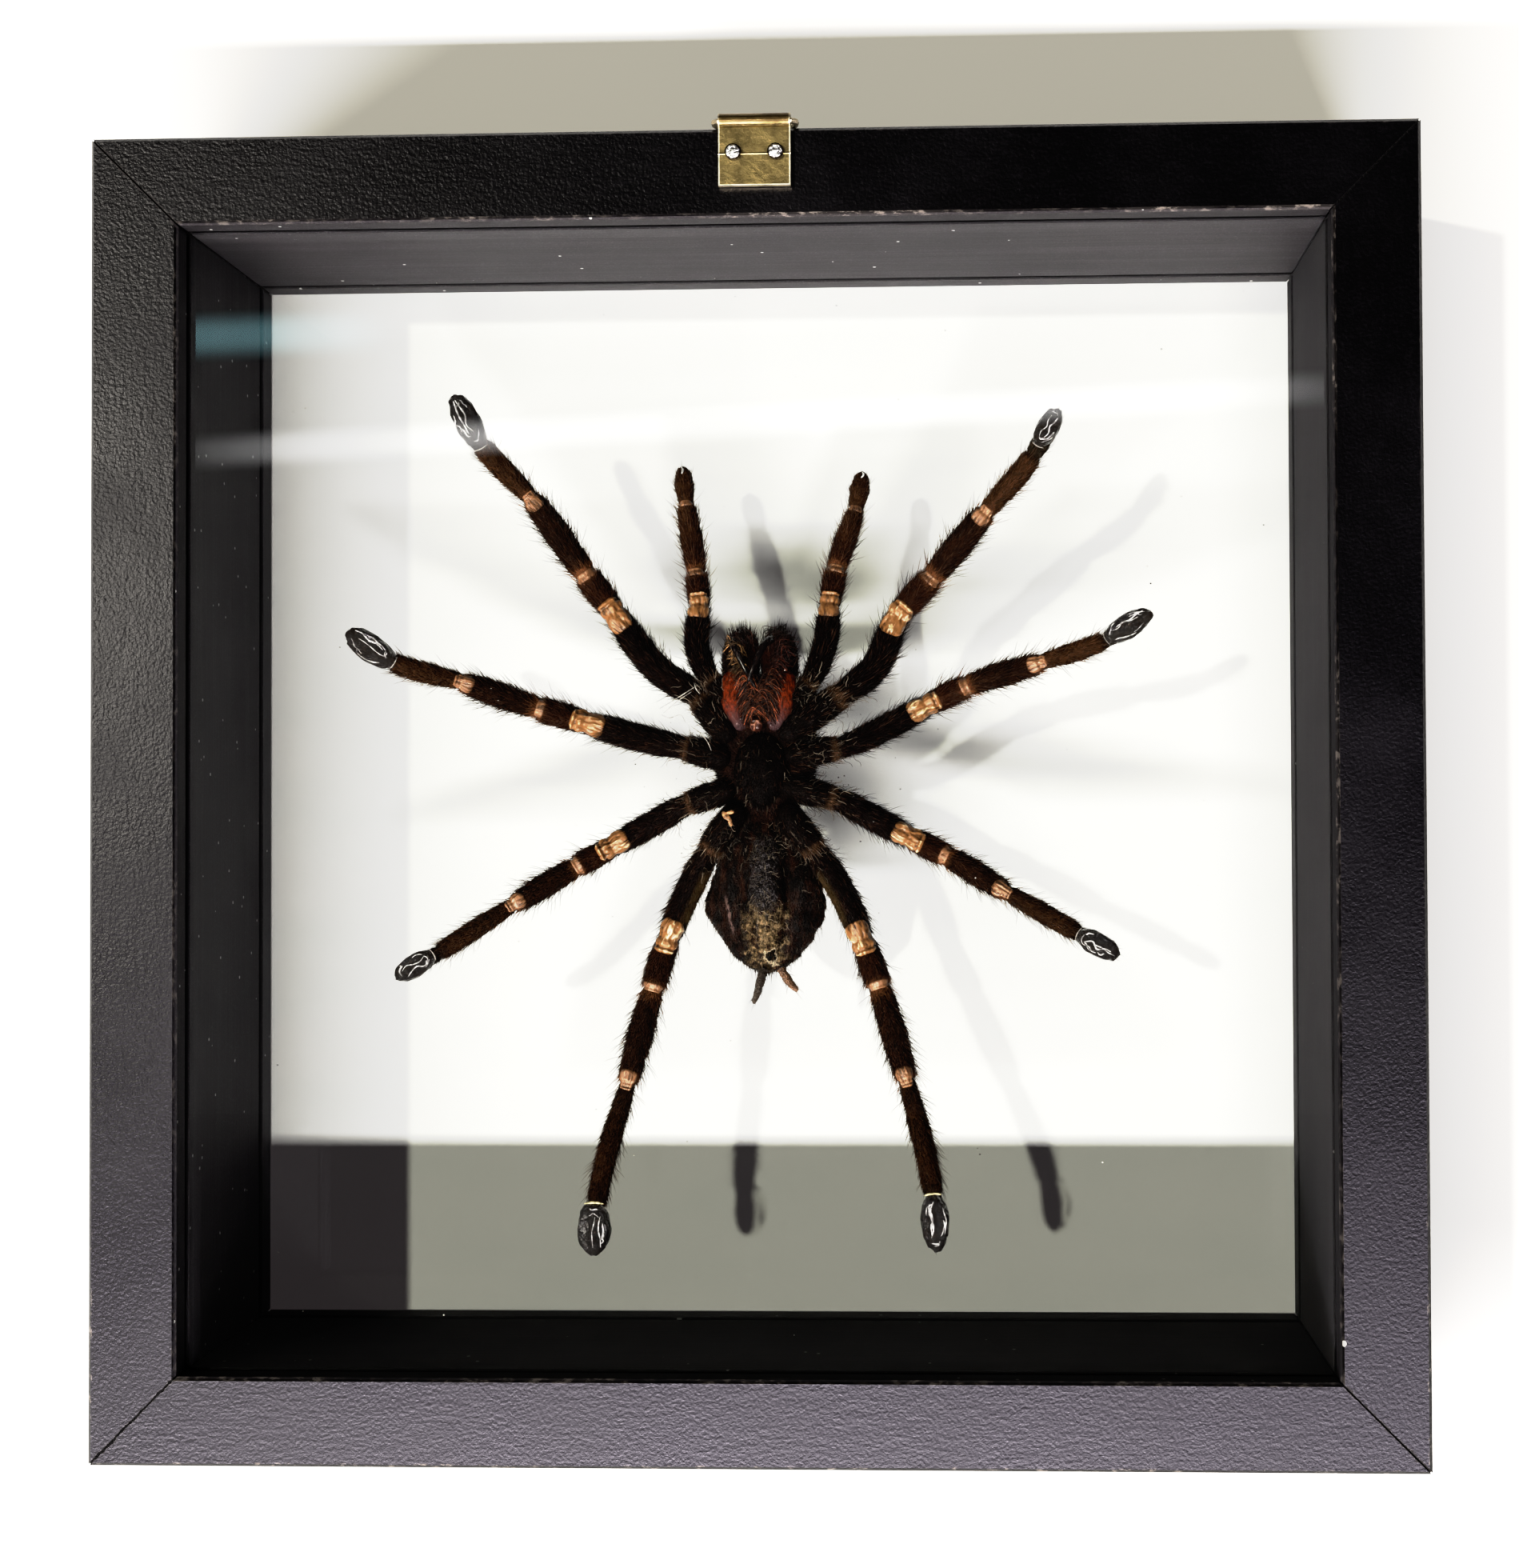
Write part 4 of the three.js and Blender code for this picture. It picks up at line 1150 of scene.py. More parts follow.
# Rows of hairs over the left half of the mouth: how many, how far they stray (mm), the colour on
# the right and on the left, then the first and the last hair of the row as root, apex and tip.
MOUTH_RED = (0.12, 0.036, 0.014)
FRINGE_ROWS = (
    (60, 0.34, MOUTH_RED, MOUTH_RED, ((4.6, 20.6, 34.2), (2.6, 22.4, 35.5), (1.0, 20.4, 35.0)),
     ((2.9, 12.8, 34.8), (1.1, 15.2, 35.8), (-0.7, 14.0, 35.3))),
    (44, 0.4, MOUTH_RED, MOUTH_RED, ((3.2, 20.0, 34.6), (1.5, 21.7, 36.0), (-0.3, 19.2, 35.7)),
     ((1.8, 13.2, 35.2), (0.1, 15.4, 36.2), (-1.8, 13.0, 35.5))),
    (60, 0.6, (0.24, 0.14, 0.065), (0.07, 0.02, 0.012),
     ((5.9, 27.6, 32.6), (4.6, 28.4, 33.9), (3.5, 27.2, 33.9)),
     ((4.4, 20.6, 34.2), (3.0, 21.8, 35.2), (1.9, 20.2, 34.9))),
    (40, 0.5, (0.05, 0.02, 0.014), (0.05, 0.02, 0.014),
     ((5.4, 29.2, 32.0), (4.3, 28.6, 33.9), (3.4, 27.2, 34.1)),
     ((2.0, 30.0, 31.6), (1.2, 28.9, 33.6), (0.8, 27.3, 33.6))),
)


def mouth_fringe():
    """Rows of arched hairs that reach over the mouth from the inner edges of the maxillae."""
    draws = np.random.default_rng(31)
    shell = Shell()
    for side in (-1, 1):
        for count, spread, right_coat, left_coat, first, last in FRINGE_ROWS:
            first, last = np.array(first) * (side, 1, 1), np.array(last) * (side, 1, 1)
            for i in range(count):
                t = (i + 0.5) / count
                wander = draws.normal(0, 1, (3, 3)) * spread
                points, faces, ways = hair_arc(first * (1 - t) + last * t + wander,
                                               draws.uniform(0.09, 0.18))
                tone = draws.choice((0.12, 0.4, 1.3, 3.2), p=(0.4, 0.28, 0.2, 0.12))
                coat = right_coat if side < 0 else left_coat
                shell.add(points, faces, along=ways, coat=np.array(coat) * tone)
    return shell


def chelicera_shell(side):
    """The jaw's base: an egg whose front end is blunt, with a groove for the fang."""
    middle = np.array((-0.3 + side * 3.5, 23.2, 29.0))
    wide, long, deep = 3.35, 6.9, 3.9
    unit, points, faces = ball(middle, (wide, long, deep), 44, 32, 1)
    x, y, z = unit.T
    front = np.clip(y, 0, 1)
    blunt = 1 + 0.14 * front - 0.12 * np.clip(-y, 0, 1)
    points[:, 0] = middle[0] + x * wide * blunt - side * 0.35 * front
    points[:, 2] = middle[2] + z * deep * blunt
    groove = np.exp(-((x + side * 0.45) / 0.3) ** 2) * np.clip(z, 0, 1) * np.clip(y + 0.7, 0, 1)
    points[:, 2] -= groove * 1.5
    points += unit * ripple(points, 0.5, 12 + side)[:, None] * 0.14
    inner = np.clip(-x * side + 0.15, 0, 1) * np.clip(z, 0, 1)
    coat = np.outer(1 - inner, (0.009, 0.0035, 0.0025)) + np.outer(inner, (0.05, 0.017, 0.01))
    ways = units(np.stack([side * np.full_like(x, 0.1), np.ones_like(x), np.zeros_like(x)], -1))
    shell = Shell()
    shell.add(points, faces, along=ways, coat=coat, felt=1.0 - groove * 0.9,
              bristle=0.5 + 2.2 * np.clip(y - 0.3, 0, 1), reach=0.55 + 0.15 * front)
    return shell


def fang_points(side):
    """A curved black horn from the front of a chelicera across to the other side."""
    if side < 0:
        line = ((-5.0, 28.0, 32.4), (-4.2, 26.4, 34.6), (-2.4, 22.8, 35.8), (0.2, 18.3, 36.0))
    else:
        line = ((2.4, 28.4, 33.0), (1.2, 26.9, 35.8), (-0.5, 23.1, 37.6), (-2.0, 19.4, 37.6))
    spine = Spine(line, 0.25)
    t = spine.numbers / 3
    radii = np.interp(t, (0, 0.15, 0.4, 0.75, 1), (0.75, 0.8, 0.6, 0.4, 0.07))
    return tube(spine, radii, 18, 1.0)


# Outline of the abdomen: (place along the body, half width), in mm.
ABDOMEN_OUTLINE = ((-32.0, 0.8), (-31.3, 3.0), (-29.2, 5.8), (-26, 8.4), (-22.5, 10.1), (-19, 10.7),
                   (-15.5, 10.3), (-12, 9.0), (-8.5, 7.0), (-5, 4.2), (-2.6, 1.2))
# Sideways place and height (mm) of its middle line.
ABDOMEN_MIDDLE = (0.5, 26.6)


def abdomen_shell():
    """The shrunken abdomen: a shield with long folds, a sunken belly and a ridge down it."""
    ys, halves = np.array(ABDOMEN_OUTLINE).T
    middle_x, middle_z = ABDOMEN_MIDDLE
    spine = Spine([(middle_x - 0.02 * (y + 18), y, middle_z) for y in ys[::-1]], 0.4)
    points, faces, ways = tube(spine, np.interp(spine.places[:, 1], ys, halves), 96, 0.74)
    side_step, up = points[:, 0] - middle_x, points[:, 2] - middle_z
    x = side_step / np.maximum(np.interp(points[:, 1], ys, halves), 0.5)
    out = units(np.stack([side_step, np.zeros(len(points)), up], -1))
    folds = (creases(points * (1.0, 0.35, 1.0), 0.3, 21) * 0.8
             + creases(points * (1, 0.5, 1), 0.75, 25) * 0.4)
    lumps = ripple(points, 0.16, 30) * 1.0 + ripple(points, 0.5, 31) * 0.35
    belly = np.clip(up / 8, 0, 1)
    sunk = belly * np.exp(-((np.abs(x) - 0.5) / 0.19) ** 2) * 2.2
    sunk = sunk * np.clip((points[:, 1] + 31) / 6, 0, 1)
    keel = belly * np.exp(-(x / 0.22) ** 2) * 0.9
    size = np.interp(points[:, 1], (-32, -27, -10, -4), (0.25, 1, 1, 0.3))
    scallop = np.exp(-(up / 2.5) ** 2) * np.sin(points[:, 1] * 1.9 + 1.5 * np.sign(x)) * 0.12
    lift = (folds - 0.7 + lumps) * 0.75 * size - sunk * size + keel * size + scallop
    points = points + out * lift[:, None]
    points[:, 2] = np.clip(points[:, 2], 17.5, 36.0)
    down = points[:, 1]

    rim = np.exp(-((np.abs(x) - 1) / 0.12) ** 2)
    # The coat is painted darker where the skin sinks and lighter where it rises, as shade and
    # light; it is paler along the outline.
    coat = (np.outer(np.clip(lift + 1.1, 0.3, 1.8), (0.004, 0.0018, 0.0012))
            + np.outer(rim, (0.03, 0.016, 0.008)))
    blotch = np.clip(ripple(points, 0.55, 41, 2) * 2.2 + 0.75, 0, 1)
    spots = ripple(points, 1.1, 43, 2)[:, None]
    in_strip = np.exp(-(x / 0.15) ** 2) * belly * (down > -22) * (down < -9)
    in_strip = in_strip * (0.55 + 0.45 * blotch)
    in_patch = np.exp(-(x / 0.44) ** 4) * belly * np.clip((-20.0 - down) / 1.5, 0, 1) * blotch
    frayed = belly * np.clip((down + 13) / 3, 0, 1)
    bare = np.clip(1 - 0.9 * in_patch - 0.9 * in_strip, 0.0, 1)
    patch = np.where(spots > 0.12, (0.26, 0.17, 0.09), (0.10, 0.068, 0.022))
    patch = np.where(spots < -0.3, (0.02, 0.012, 0.007), patch)
    for share, tint in ((in_patch, patch), (in_strip, (0.07, 0.062, 0.066)),
                        (frayed, (0.03, 0.019, 0.012))):
        coat = coat * (1 - share[:, None]) + share[:, None] * tint
    shell = Shell()
    shell.add(points, faces, along=units(ways + (0, -0.2, 0)), coat=coat, felt=0.5 * bare,
              bristle=0.16 * bare, curl=in_strip * 3.2 + in_patch * 0.8 + frayed * 1.3 + 0.05,
              reach=0.6)
    return shell


# Stations (mm) of each spinneret, and its lighter and darker colour.
SPINNERETS = {
    "right_spinneret": (((0.2, -31.2, 29.4), (-0.6, -34.6, 30.8), (-1.4, -37.2, 31.6)),
                        (0.03, 0.018, 0.01), (0.012, 0.007, 0.004)),
    "left_spinneret": (((3.4, -31.2, 29.4), (5, -33.5, 30.6), (6.5, -34.9, 31.2)),
                       (0.17, 0.095, 0.055), (0.03, 0.015, 0.01)),
}


# Length and width (mm) of each blob of glue.
GLUE_SIZES = {"right_leg_1": (11.0, 4.7), "right_leg_2": (10.4, 4.9), "right_leg_3": (8.0, 4.0),
              "right_leg_4": (9.3, 5.8), "left_leg_1": (7.6, 3.9), "left_leg_2": (9.4, 4.3),
              "left_leg_3": (8.3, 4.2), "left_leg_4": (10.2, 4.9)}
# White lines on the ends of the pedipalps, painted as highlights, and fine white threads by the
# coxae.
PALP_TIP_HIGHLIGHTS = (((-15.9, 61.6, 20.1), (-15.5, 60.9, 20.5), (-15.7, 60.2, 20.6)),
                ((17.9, 60.3, 20.1), (18.2, 59.7, 20.5), (17.7, 59.1, 20.6)))
COXA_THREADS = (((-17.6, 15.7, 35.5), (-14.5, 17.4, 36.4), (-10.6, 19.9, 36.0)),
                ((-16.9, 14.9, 35.6), (-14.2, 17.0, 36.5), (-11.8, 18.6, 36.3)),
                ((-11.4, 20.3, 36.0), (-10.9, 19.0, 36.5), (-10.3, 18.2, 36.2)),
                ((-17.4, 14.6, 35.2), (-15.9, 14.0, 36.1), (-13.6, 14.4, 36.3),
                 (-12.9, 13.1, 36.1)),
                ((-12.0, 12.5, 35.9), (-10.2, 11.2, 36.4), (-8.9, 9.6, 36.5), (-8.3, 8.1, 36.2)))


def glue_place(name):
    """Middle of the blob of glue on this leg, the leg's way and sideways, and the leg's tip."""
    heel, tip = [np.array(p) for p in stations_of(name)[-2:]]
    way = units((tip - heel) * (1, 1, 0))
    middle = tip - way * (GLUE_SIZES[name][0] * 0.5 + 0.1)
    return middle, way, np.array((-way[1], way[0], 0)), tip


def glue_points(name):
    """A flattened blob between the back pane and the end of a limb, drawn out along the tarsus."""
    middle, way, side, tip = glue_place(name)
    long, wide = GLUE_SIZES[name]
    unit, _, faces = ball((0, 0, 0), (1, 1, 1), 40, 24, 2)
    top, low = BACK_GLASS_INSIDE - 0.02, tip[2] - 0.9
    wavy = 1 + 0.10 * ripple(unit * 3, 0.9, long)
    # The blob is full height above this share of itself, where it is pressed to the pane.
    pressed = 0.55
    rounded = (np.clip((unit[:, 2] + 1) / (pressed + 1), 0, 1)) ** 0.8
    rise = np.where(unit[:, 2] > pressed, 1.0, rounded)
    points = (middle * (1, 1, 0) + np.outer(unit[:, 0] * wavy * long / 2, way)
              + np.outer(unit[:, 1] * wavy * wide / 2, side))
    points[:, 2] = low + (top - low) * rise
    return points, faces


def glue_threads():
    """White lines in the skin of each blob of glue, painted as its highlights round the rim and
    down the middle, a pale lip at its heel, painted highlights on the pedipalp tips, and stray
    threads by the coxae.
    """
    draws = np.random.default_rng(17)
    shell = Shell()

    def pale_line(knots, wide, coat=(0.8, 0.79, 0.76)):
        spine = Spine(knots, 0.25)
        t = np.linspace(0, 1, len(spine.places))
        uneven = 1 + 0.5 * ripple(spine.places, 1.4, wide)
        radii = wide * (0.25 + 0.75 * np.sin(math.pi * t) ** 0.6) * uneven
        points, faces, ways = tube(spine, np.clip(radii, 0.03, 1), 5, 0.5)
        shell.add(points, faces, along=ways, coat=coat)

    top = BACK_GLASS_INSIDE - 0.16
    for name, (long, wide) in GLUE_SIZES.items():
        middle, way, side, _ = glue_place(name)
        # Painted highlights round the rim of the blob.
        for i in range(5):
            start = draws.uniform(0, 2 * math.pi)
            span = draws.uniform(0.5, 1.3) * (1 if i < 3 else -1)
            shrink = draws.uniform(0.6, 0.8)
            knots = [middle + way * math.cos(a) * long / 2 * shrink
                     + side * math.sin(a) * wide / 2 * shrink + draws.normal(0, 0.12, 3)
                     for a in np.linspace(start, start + span, 5)]
            pale_line([(k[0], k[1], top) for k in knots], draws.uniform(0.07, 0.15))
        # Painted highlights down the middle of the blob.
        for i in range(2):
            shares = np.linspace(-0.28, 0.3, 5) + draws.uniform(-0.1, 0.1)
            off = draws.uniform(-0.22, 0.22)
            knots = [middle + way * a * long + side * (off * wide + draws.normal(0, 0.22))
                     for a in shares]
            pale_line([(k[0], k[1], top) for k in knots], draws.uniform(0.08, 0.2))
        lip = [middle - way * long * 0.47 + side * off * wide - way * (0.3 - abs(off))
               for off in (-0.3, -0.1, 0.1, 0.3)]
        thick, coat = (0.22, (0.6, 0.52, 0.3)) if "leg_4" in name else (0.1, (0.4, 0.37, 0.34))
        pale_line([(k[0], k[1], top - 0.5) for k in lip], thick, coat)
    for knots in PALP_TIP_HIGHLIGHTS:
        pale_line(knots, 0.2)
    for knots in COXA_THREADS:
        pale_line(knots, 0.085, (0.5, 0.47, 0.42))
    return shell


# Tan flakes on the waist: (place, half sizes, turn in radians).
FLAKES = (((-5.6, -3.6, 36.6), (1.3, 0.45, 0.16), -0.9),
          ((-4.9, -4.6, 36.6), (0.8, 0.4, 0.16), -1.3),
          ((-5.0, -2.9, 36.6), (0.6, 0.3, 0.14), 0.2))


def stray_bits():
    """Dust and broken hairs on the back pane's inner side and tan flakes on the waist."""
    draws = np.random.default_rng(23)
    shell = Shell()
    level = BACK_GLASS_INSIDE - 0.1
    all_bits, by_the_body, dark = 150, 60, 75
    for i in range(all_bits):
        if i < by_the_body:
            turn, far = draws.uniform(0, 2 * math.pi), abs(draws.normal(0, 9)) + 13
            place = (0.5 + far * math.cos(turn), 2 + 0.8 * far * math.sin(turn), level)
        else:
            place = (*draws.uniform(-95, 95, 2), level)
        size = draws.uniform(0.07, 0.2)
        _, points, faces = ball(place, (size, size * draws.uniform(0.4, 1), 0.06), 6, 4, 2)
        shell.add(points, faces, coat=(0.02, 0.012, 0.01) if i < dark else (0.62, 0.6, 0.55))
    for place, size, turn in FLAKES:
        unit, points, faces = ball((0, 0, 0), size, 12, 8, 2)
        points += unit * ripple(points, 0.9, size[0])[:, None] * 0.3
        c, s = math.cos(turn), math.sin(turn)
        points = points @ np.array(((c, s, 0), (-s, c, 0), (0, 0, 1))) + place
        shell.add(points, faces, coat=(0.36, 0.2, 0.1))
    return shell


# ---- hair ----
def strand_mesh(name, knots, sides=3):
    """A closed tapered hair of unit length on +Z; knots are (height, radius, bend)."""
    points, rises, faces = [], [], []
    for height, radius, bend in knots[:-1]:
        for k in range(sides):
            turn = 2 * math.pi * k / sides
            points.append((radius * math.cos(turn) + bend, radius * math.sin(turn), height))
            rises.append(height)
    tip = len(points)
    points.append((knots[-1][2], 0, knots[-1][0]))
    rises.append(1.0)
    rings = len(knots) - 1
    for i in range(rings - 1):
        for k in range(sides):
            a, b = i * sides + k, i * sides + (k + 1) % sides
            faces.append((a, b, b + sides, a + sides))
    for k in range(sides):
        faces.append(((rings - 1) * sides + k, (rings - 1) * sides + (k + 1) % sides, tip))
    faces.append(tuple(range(sides - 1, -1, -1)))
    mesh = bpy.data.meshes.new(name)
    mesh.from_pydata(points, [], faces)
    mesh.polygons.foreach_set("use_smooth", [True] * len(faces))
    layer = mesh.attributes.new("rise", "FLOAT", "POINT")
    layer.data.foreach_set("value", rises)
    return new_object(name, mesh)


def hair_tree(name, growth, strand, material, curled=False):
    """Geometry Nodes that grow hair on a mesh where its growth attribute says."""
    tree = bpy.data.node_groups.new(name, "GeometryNodeTree")
    sockets = (("Mesh", "Geometry", None), ("Hairs per Square Metre", "Float", 1e6),
               ("Longest", "Float", 0.002), ("Width", "Float", 0.0001), ("Lean", "Float", 0.7),
               ("Disorder", "Float", 0.2), ("Rare Length", "Float", 1.0), ("Seed", "Int", 0))
    for label, kind, default in sockets:
        socket = tree.interface.new_socket(label, in_out="INPUT", socket_type="NodeSocket" + kind)
        if default is not None:
            socket.default_value = default
    tree.interface.new_socket("Mesh", in_out="OUTPUT", socket_type="NodeSocketGeometry")
    w = Wires(tree)
    given = w.add("NodeGroupInput").outputs

    def named(attribute, kind):
        node = w.add("GeometryNodeInputNamedAttribute", data_type=kind)
        node.inputs["Name"].default_value = attribute
        return node.outputs["Attribute"]

    def chance(low, high, shift):
        seed = w.plus(given["Seed"], float(shift))
        node = w.add("FunctionNodeRandomValue", data_type="FLOAT")
        w.feed(node.inputs[2], low)
        w.feed(node.inputs[3], high)
        w.feed(node.inputs["Seed"], seed)
        return node.outputs[1]

    density = w.times(given["Hairs per Square Metre"], named(growth, "FLOAT"))
    scatter = w.add("GeometryNodeDistributePointsOnFaces",
                    {"Mesh": given["Mesh"], "Density": density, "Seed": given["Seed"]})
    points, normal = scatter.outputs["Points"], scatter.outputs["Normal"]
    wander = w.add("FunctionNodeRandomValue", data_type="FLOAT_VECTOR")
    wander.inputs[0].default_value = (-1, -1, -1)
    wander.inputs[1].default_value = (1, 1, 1)
    w.feed(wander.inputs["Seed"], w.plus(given["Seed"], 1.0))

    lean = w.math("MULTIPLY", given["Lean"], chance(0.75, 1.2, 2), clamp=True)
    along = named("along", "FLOAT_VECTOR")
    way = w.vector("ADD", w.scaled(along, lean), w.scaled(normal, w.minus(1.0, lean)))
    way = w.vector("ADD", way, w.scaled(wander.outputs[0], given["Disorder"]))
    turn = w.add("FunctionNodeAxesToRotation", {"Primary Axis": way, "Secondary Axis": along},
                 primary_axis="Z", secondary_axis="X")
    share = w.math("POWER", chance(0.0, 1.0, 3), given["Rare Length"])
    share = w.plus(w.times(share, 0.66), 0.34)
    tall = w.times(given["Longest"], w.times(named("reach", "FLOAT"), share))
    width = tall if curled else given["Width"]
    size = w.add("ShaderNodeCombineXYZ", {"X": width, "Y": width, "Z": tall})
    tinted = w.add("GeometryNodeStoreNamedAttribute", {"Geometry": points}, data_type="FLOAT",
                   domain="POINT")
    tinted.inputs["Name"].default_value = "tint"
    w.feed(tinted.inputs["Value"], chance(0.0, 1.0, 4))
    shape = w.add("GeometryNodeObjectInfo")
    shape.inputs["Object"].default_value = strand
    planted = w.add("GeometryNodeInstanceOnPoints",
                    {"Points": tinted.outputs[0], "Instance": shape.outputs["Geometry"],
                     "Rotation": turn.outputs[0], "Scale": size.outputs[0]})
    real = w.add("GeometryNodeRealizeInstances", {"Geometry": planted.outputs[0]})
    dressed = w.add("GeometryNodeSetMaterial", {"Geometry": real.outputs[0]})
    dressed.inputs["Material"].default_value = material
    w.feed(w.add("NodeGroupOutput").inputs[0], dressed.outputs[0])
    return tree


def hair_bed(name, pieces):
    """One mesh out of the shells of these pieces, for hair to grow on."""
    joined = bmesh.new()
    for piece in pieces:
        joined.from_mesh(bpy.data.objects[piece].data)
    mesh = bpy.data.meshes.new(name)
    joined.to_mesh(mesh)
    joined.free()
    return new_object(name, mesh)


def grow(name, pieces, tree, values):
    """Hair on these pieces as one plain mesh, which moves with the case."""
    bed = hair_bed(name + "_bed", pieces)
    modifier = bed.modifiers.new("hair", "NODES")
    modifier.node_group = tree
    for item in tree.interface.items_tree:
        if item.in_out == "INPUT" and item.name in values:
            modifier[item.identifier] = values[item.name]
    ready = bed.evaluated_get(bpy.context.evaluated_depsgraph_get())
    mesh = bpy.data.meshes.new_from_object(ready)
    mesh.name = name
    bed.modifiers.remove(modifier)
    discard(bed)
    hair = new_object(name, mesh)
    seat(hair, "cuticle")
    print(name, len(mesh.polygons), "faces")


# ---- operators ----
# The camera over the frame's back: lens and sensor (mm), shifts, place (m) and turn (degrees).
CAMERA_LENS = 45.67
CAMERA_SENSOR = 36.0
CAMERA_SHIFT = (-0.0893, -0.0027)
CAMERA_PLACE = (0.03691, -0.00442, 0.38897)
CAMERA_TURN = (0.983, 1.921, -0.248)

# How the view shows a tone: (tone of the scene, tone shown), up to this white.
WHITE_LEVEL = 1.25
TONES = ((0.012, 0.0035), (0.028, 0.015), (0.064, 0.048), (0.224, 0.27), (0.48, 0.73),
         (0.71, 0.865), (0.86, 0.945))

# Bright strips overhead: name, place (m), turn (degrees), length and width (m), tint, strength and
# the nodes that mirror them.
GLINTS = (
    ("ceiling_glint", (-0.1003, 0.2544, 1.0), 2.63, (0.85, 0.030), (1, 1, 1), 6.5, PANES),
    ("window_glint", (-0.4286, 0.3154, 1.0), 1.1, (0.19, 0.037), (0.5, 0.92, 1), 3.4, PANES),
    ("foot_glint", (0.40, -0.53, 1.0), 0.0, (2.6, 0.66), (0.98, 0.92, 1), 12.0,
     RAILS + HANGER + NAILS),
)
# The long lamp beyond the foot: place, length and width (m), tint.
TUBE_PLACE = (-1.40, -2.43, 3.5)
TUBE_SIZE = (5.11, 0.157)
TUBE_TINT = (1, 0.965, 0.945)
# The light from the left: where it comes from, tint and spread (degrees).
LEFT_WAY = (-0.556, 0.121, 1)
LEFT_TINT = (1, 0.985, 0.85)
LEFT_SPREAD = 1.5
ROOM_TINT = (1.0, 0.95, 0.96, 1)
# The floor's half width and level (m).
FLOOR_HALF = 2.5
FLOOR_LEVEL = -0.0002


def plate(name, half_long, half_wide):
    """A flat rectangle that faces up."""
    mesh = bpy.data.meshes.new(name)
    corners = [(-half_long, -half_wide, 0), (half_long, -half_wide, 0),
               (half_long, half_wide, 0), (-half_long, half_wide, 0)]
    mesh.from_pydata(corners, [], [(0, 1, 2, 3)])
    return new_object(name, mesh)


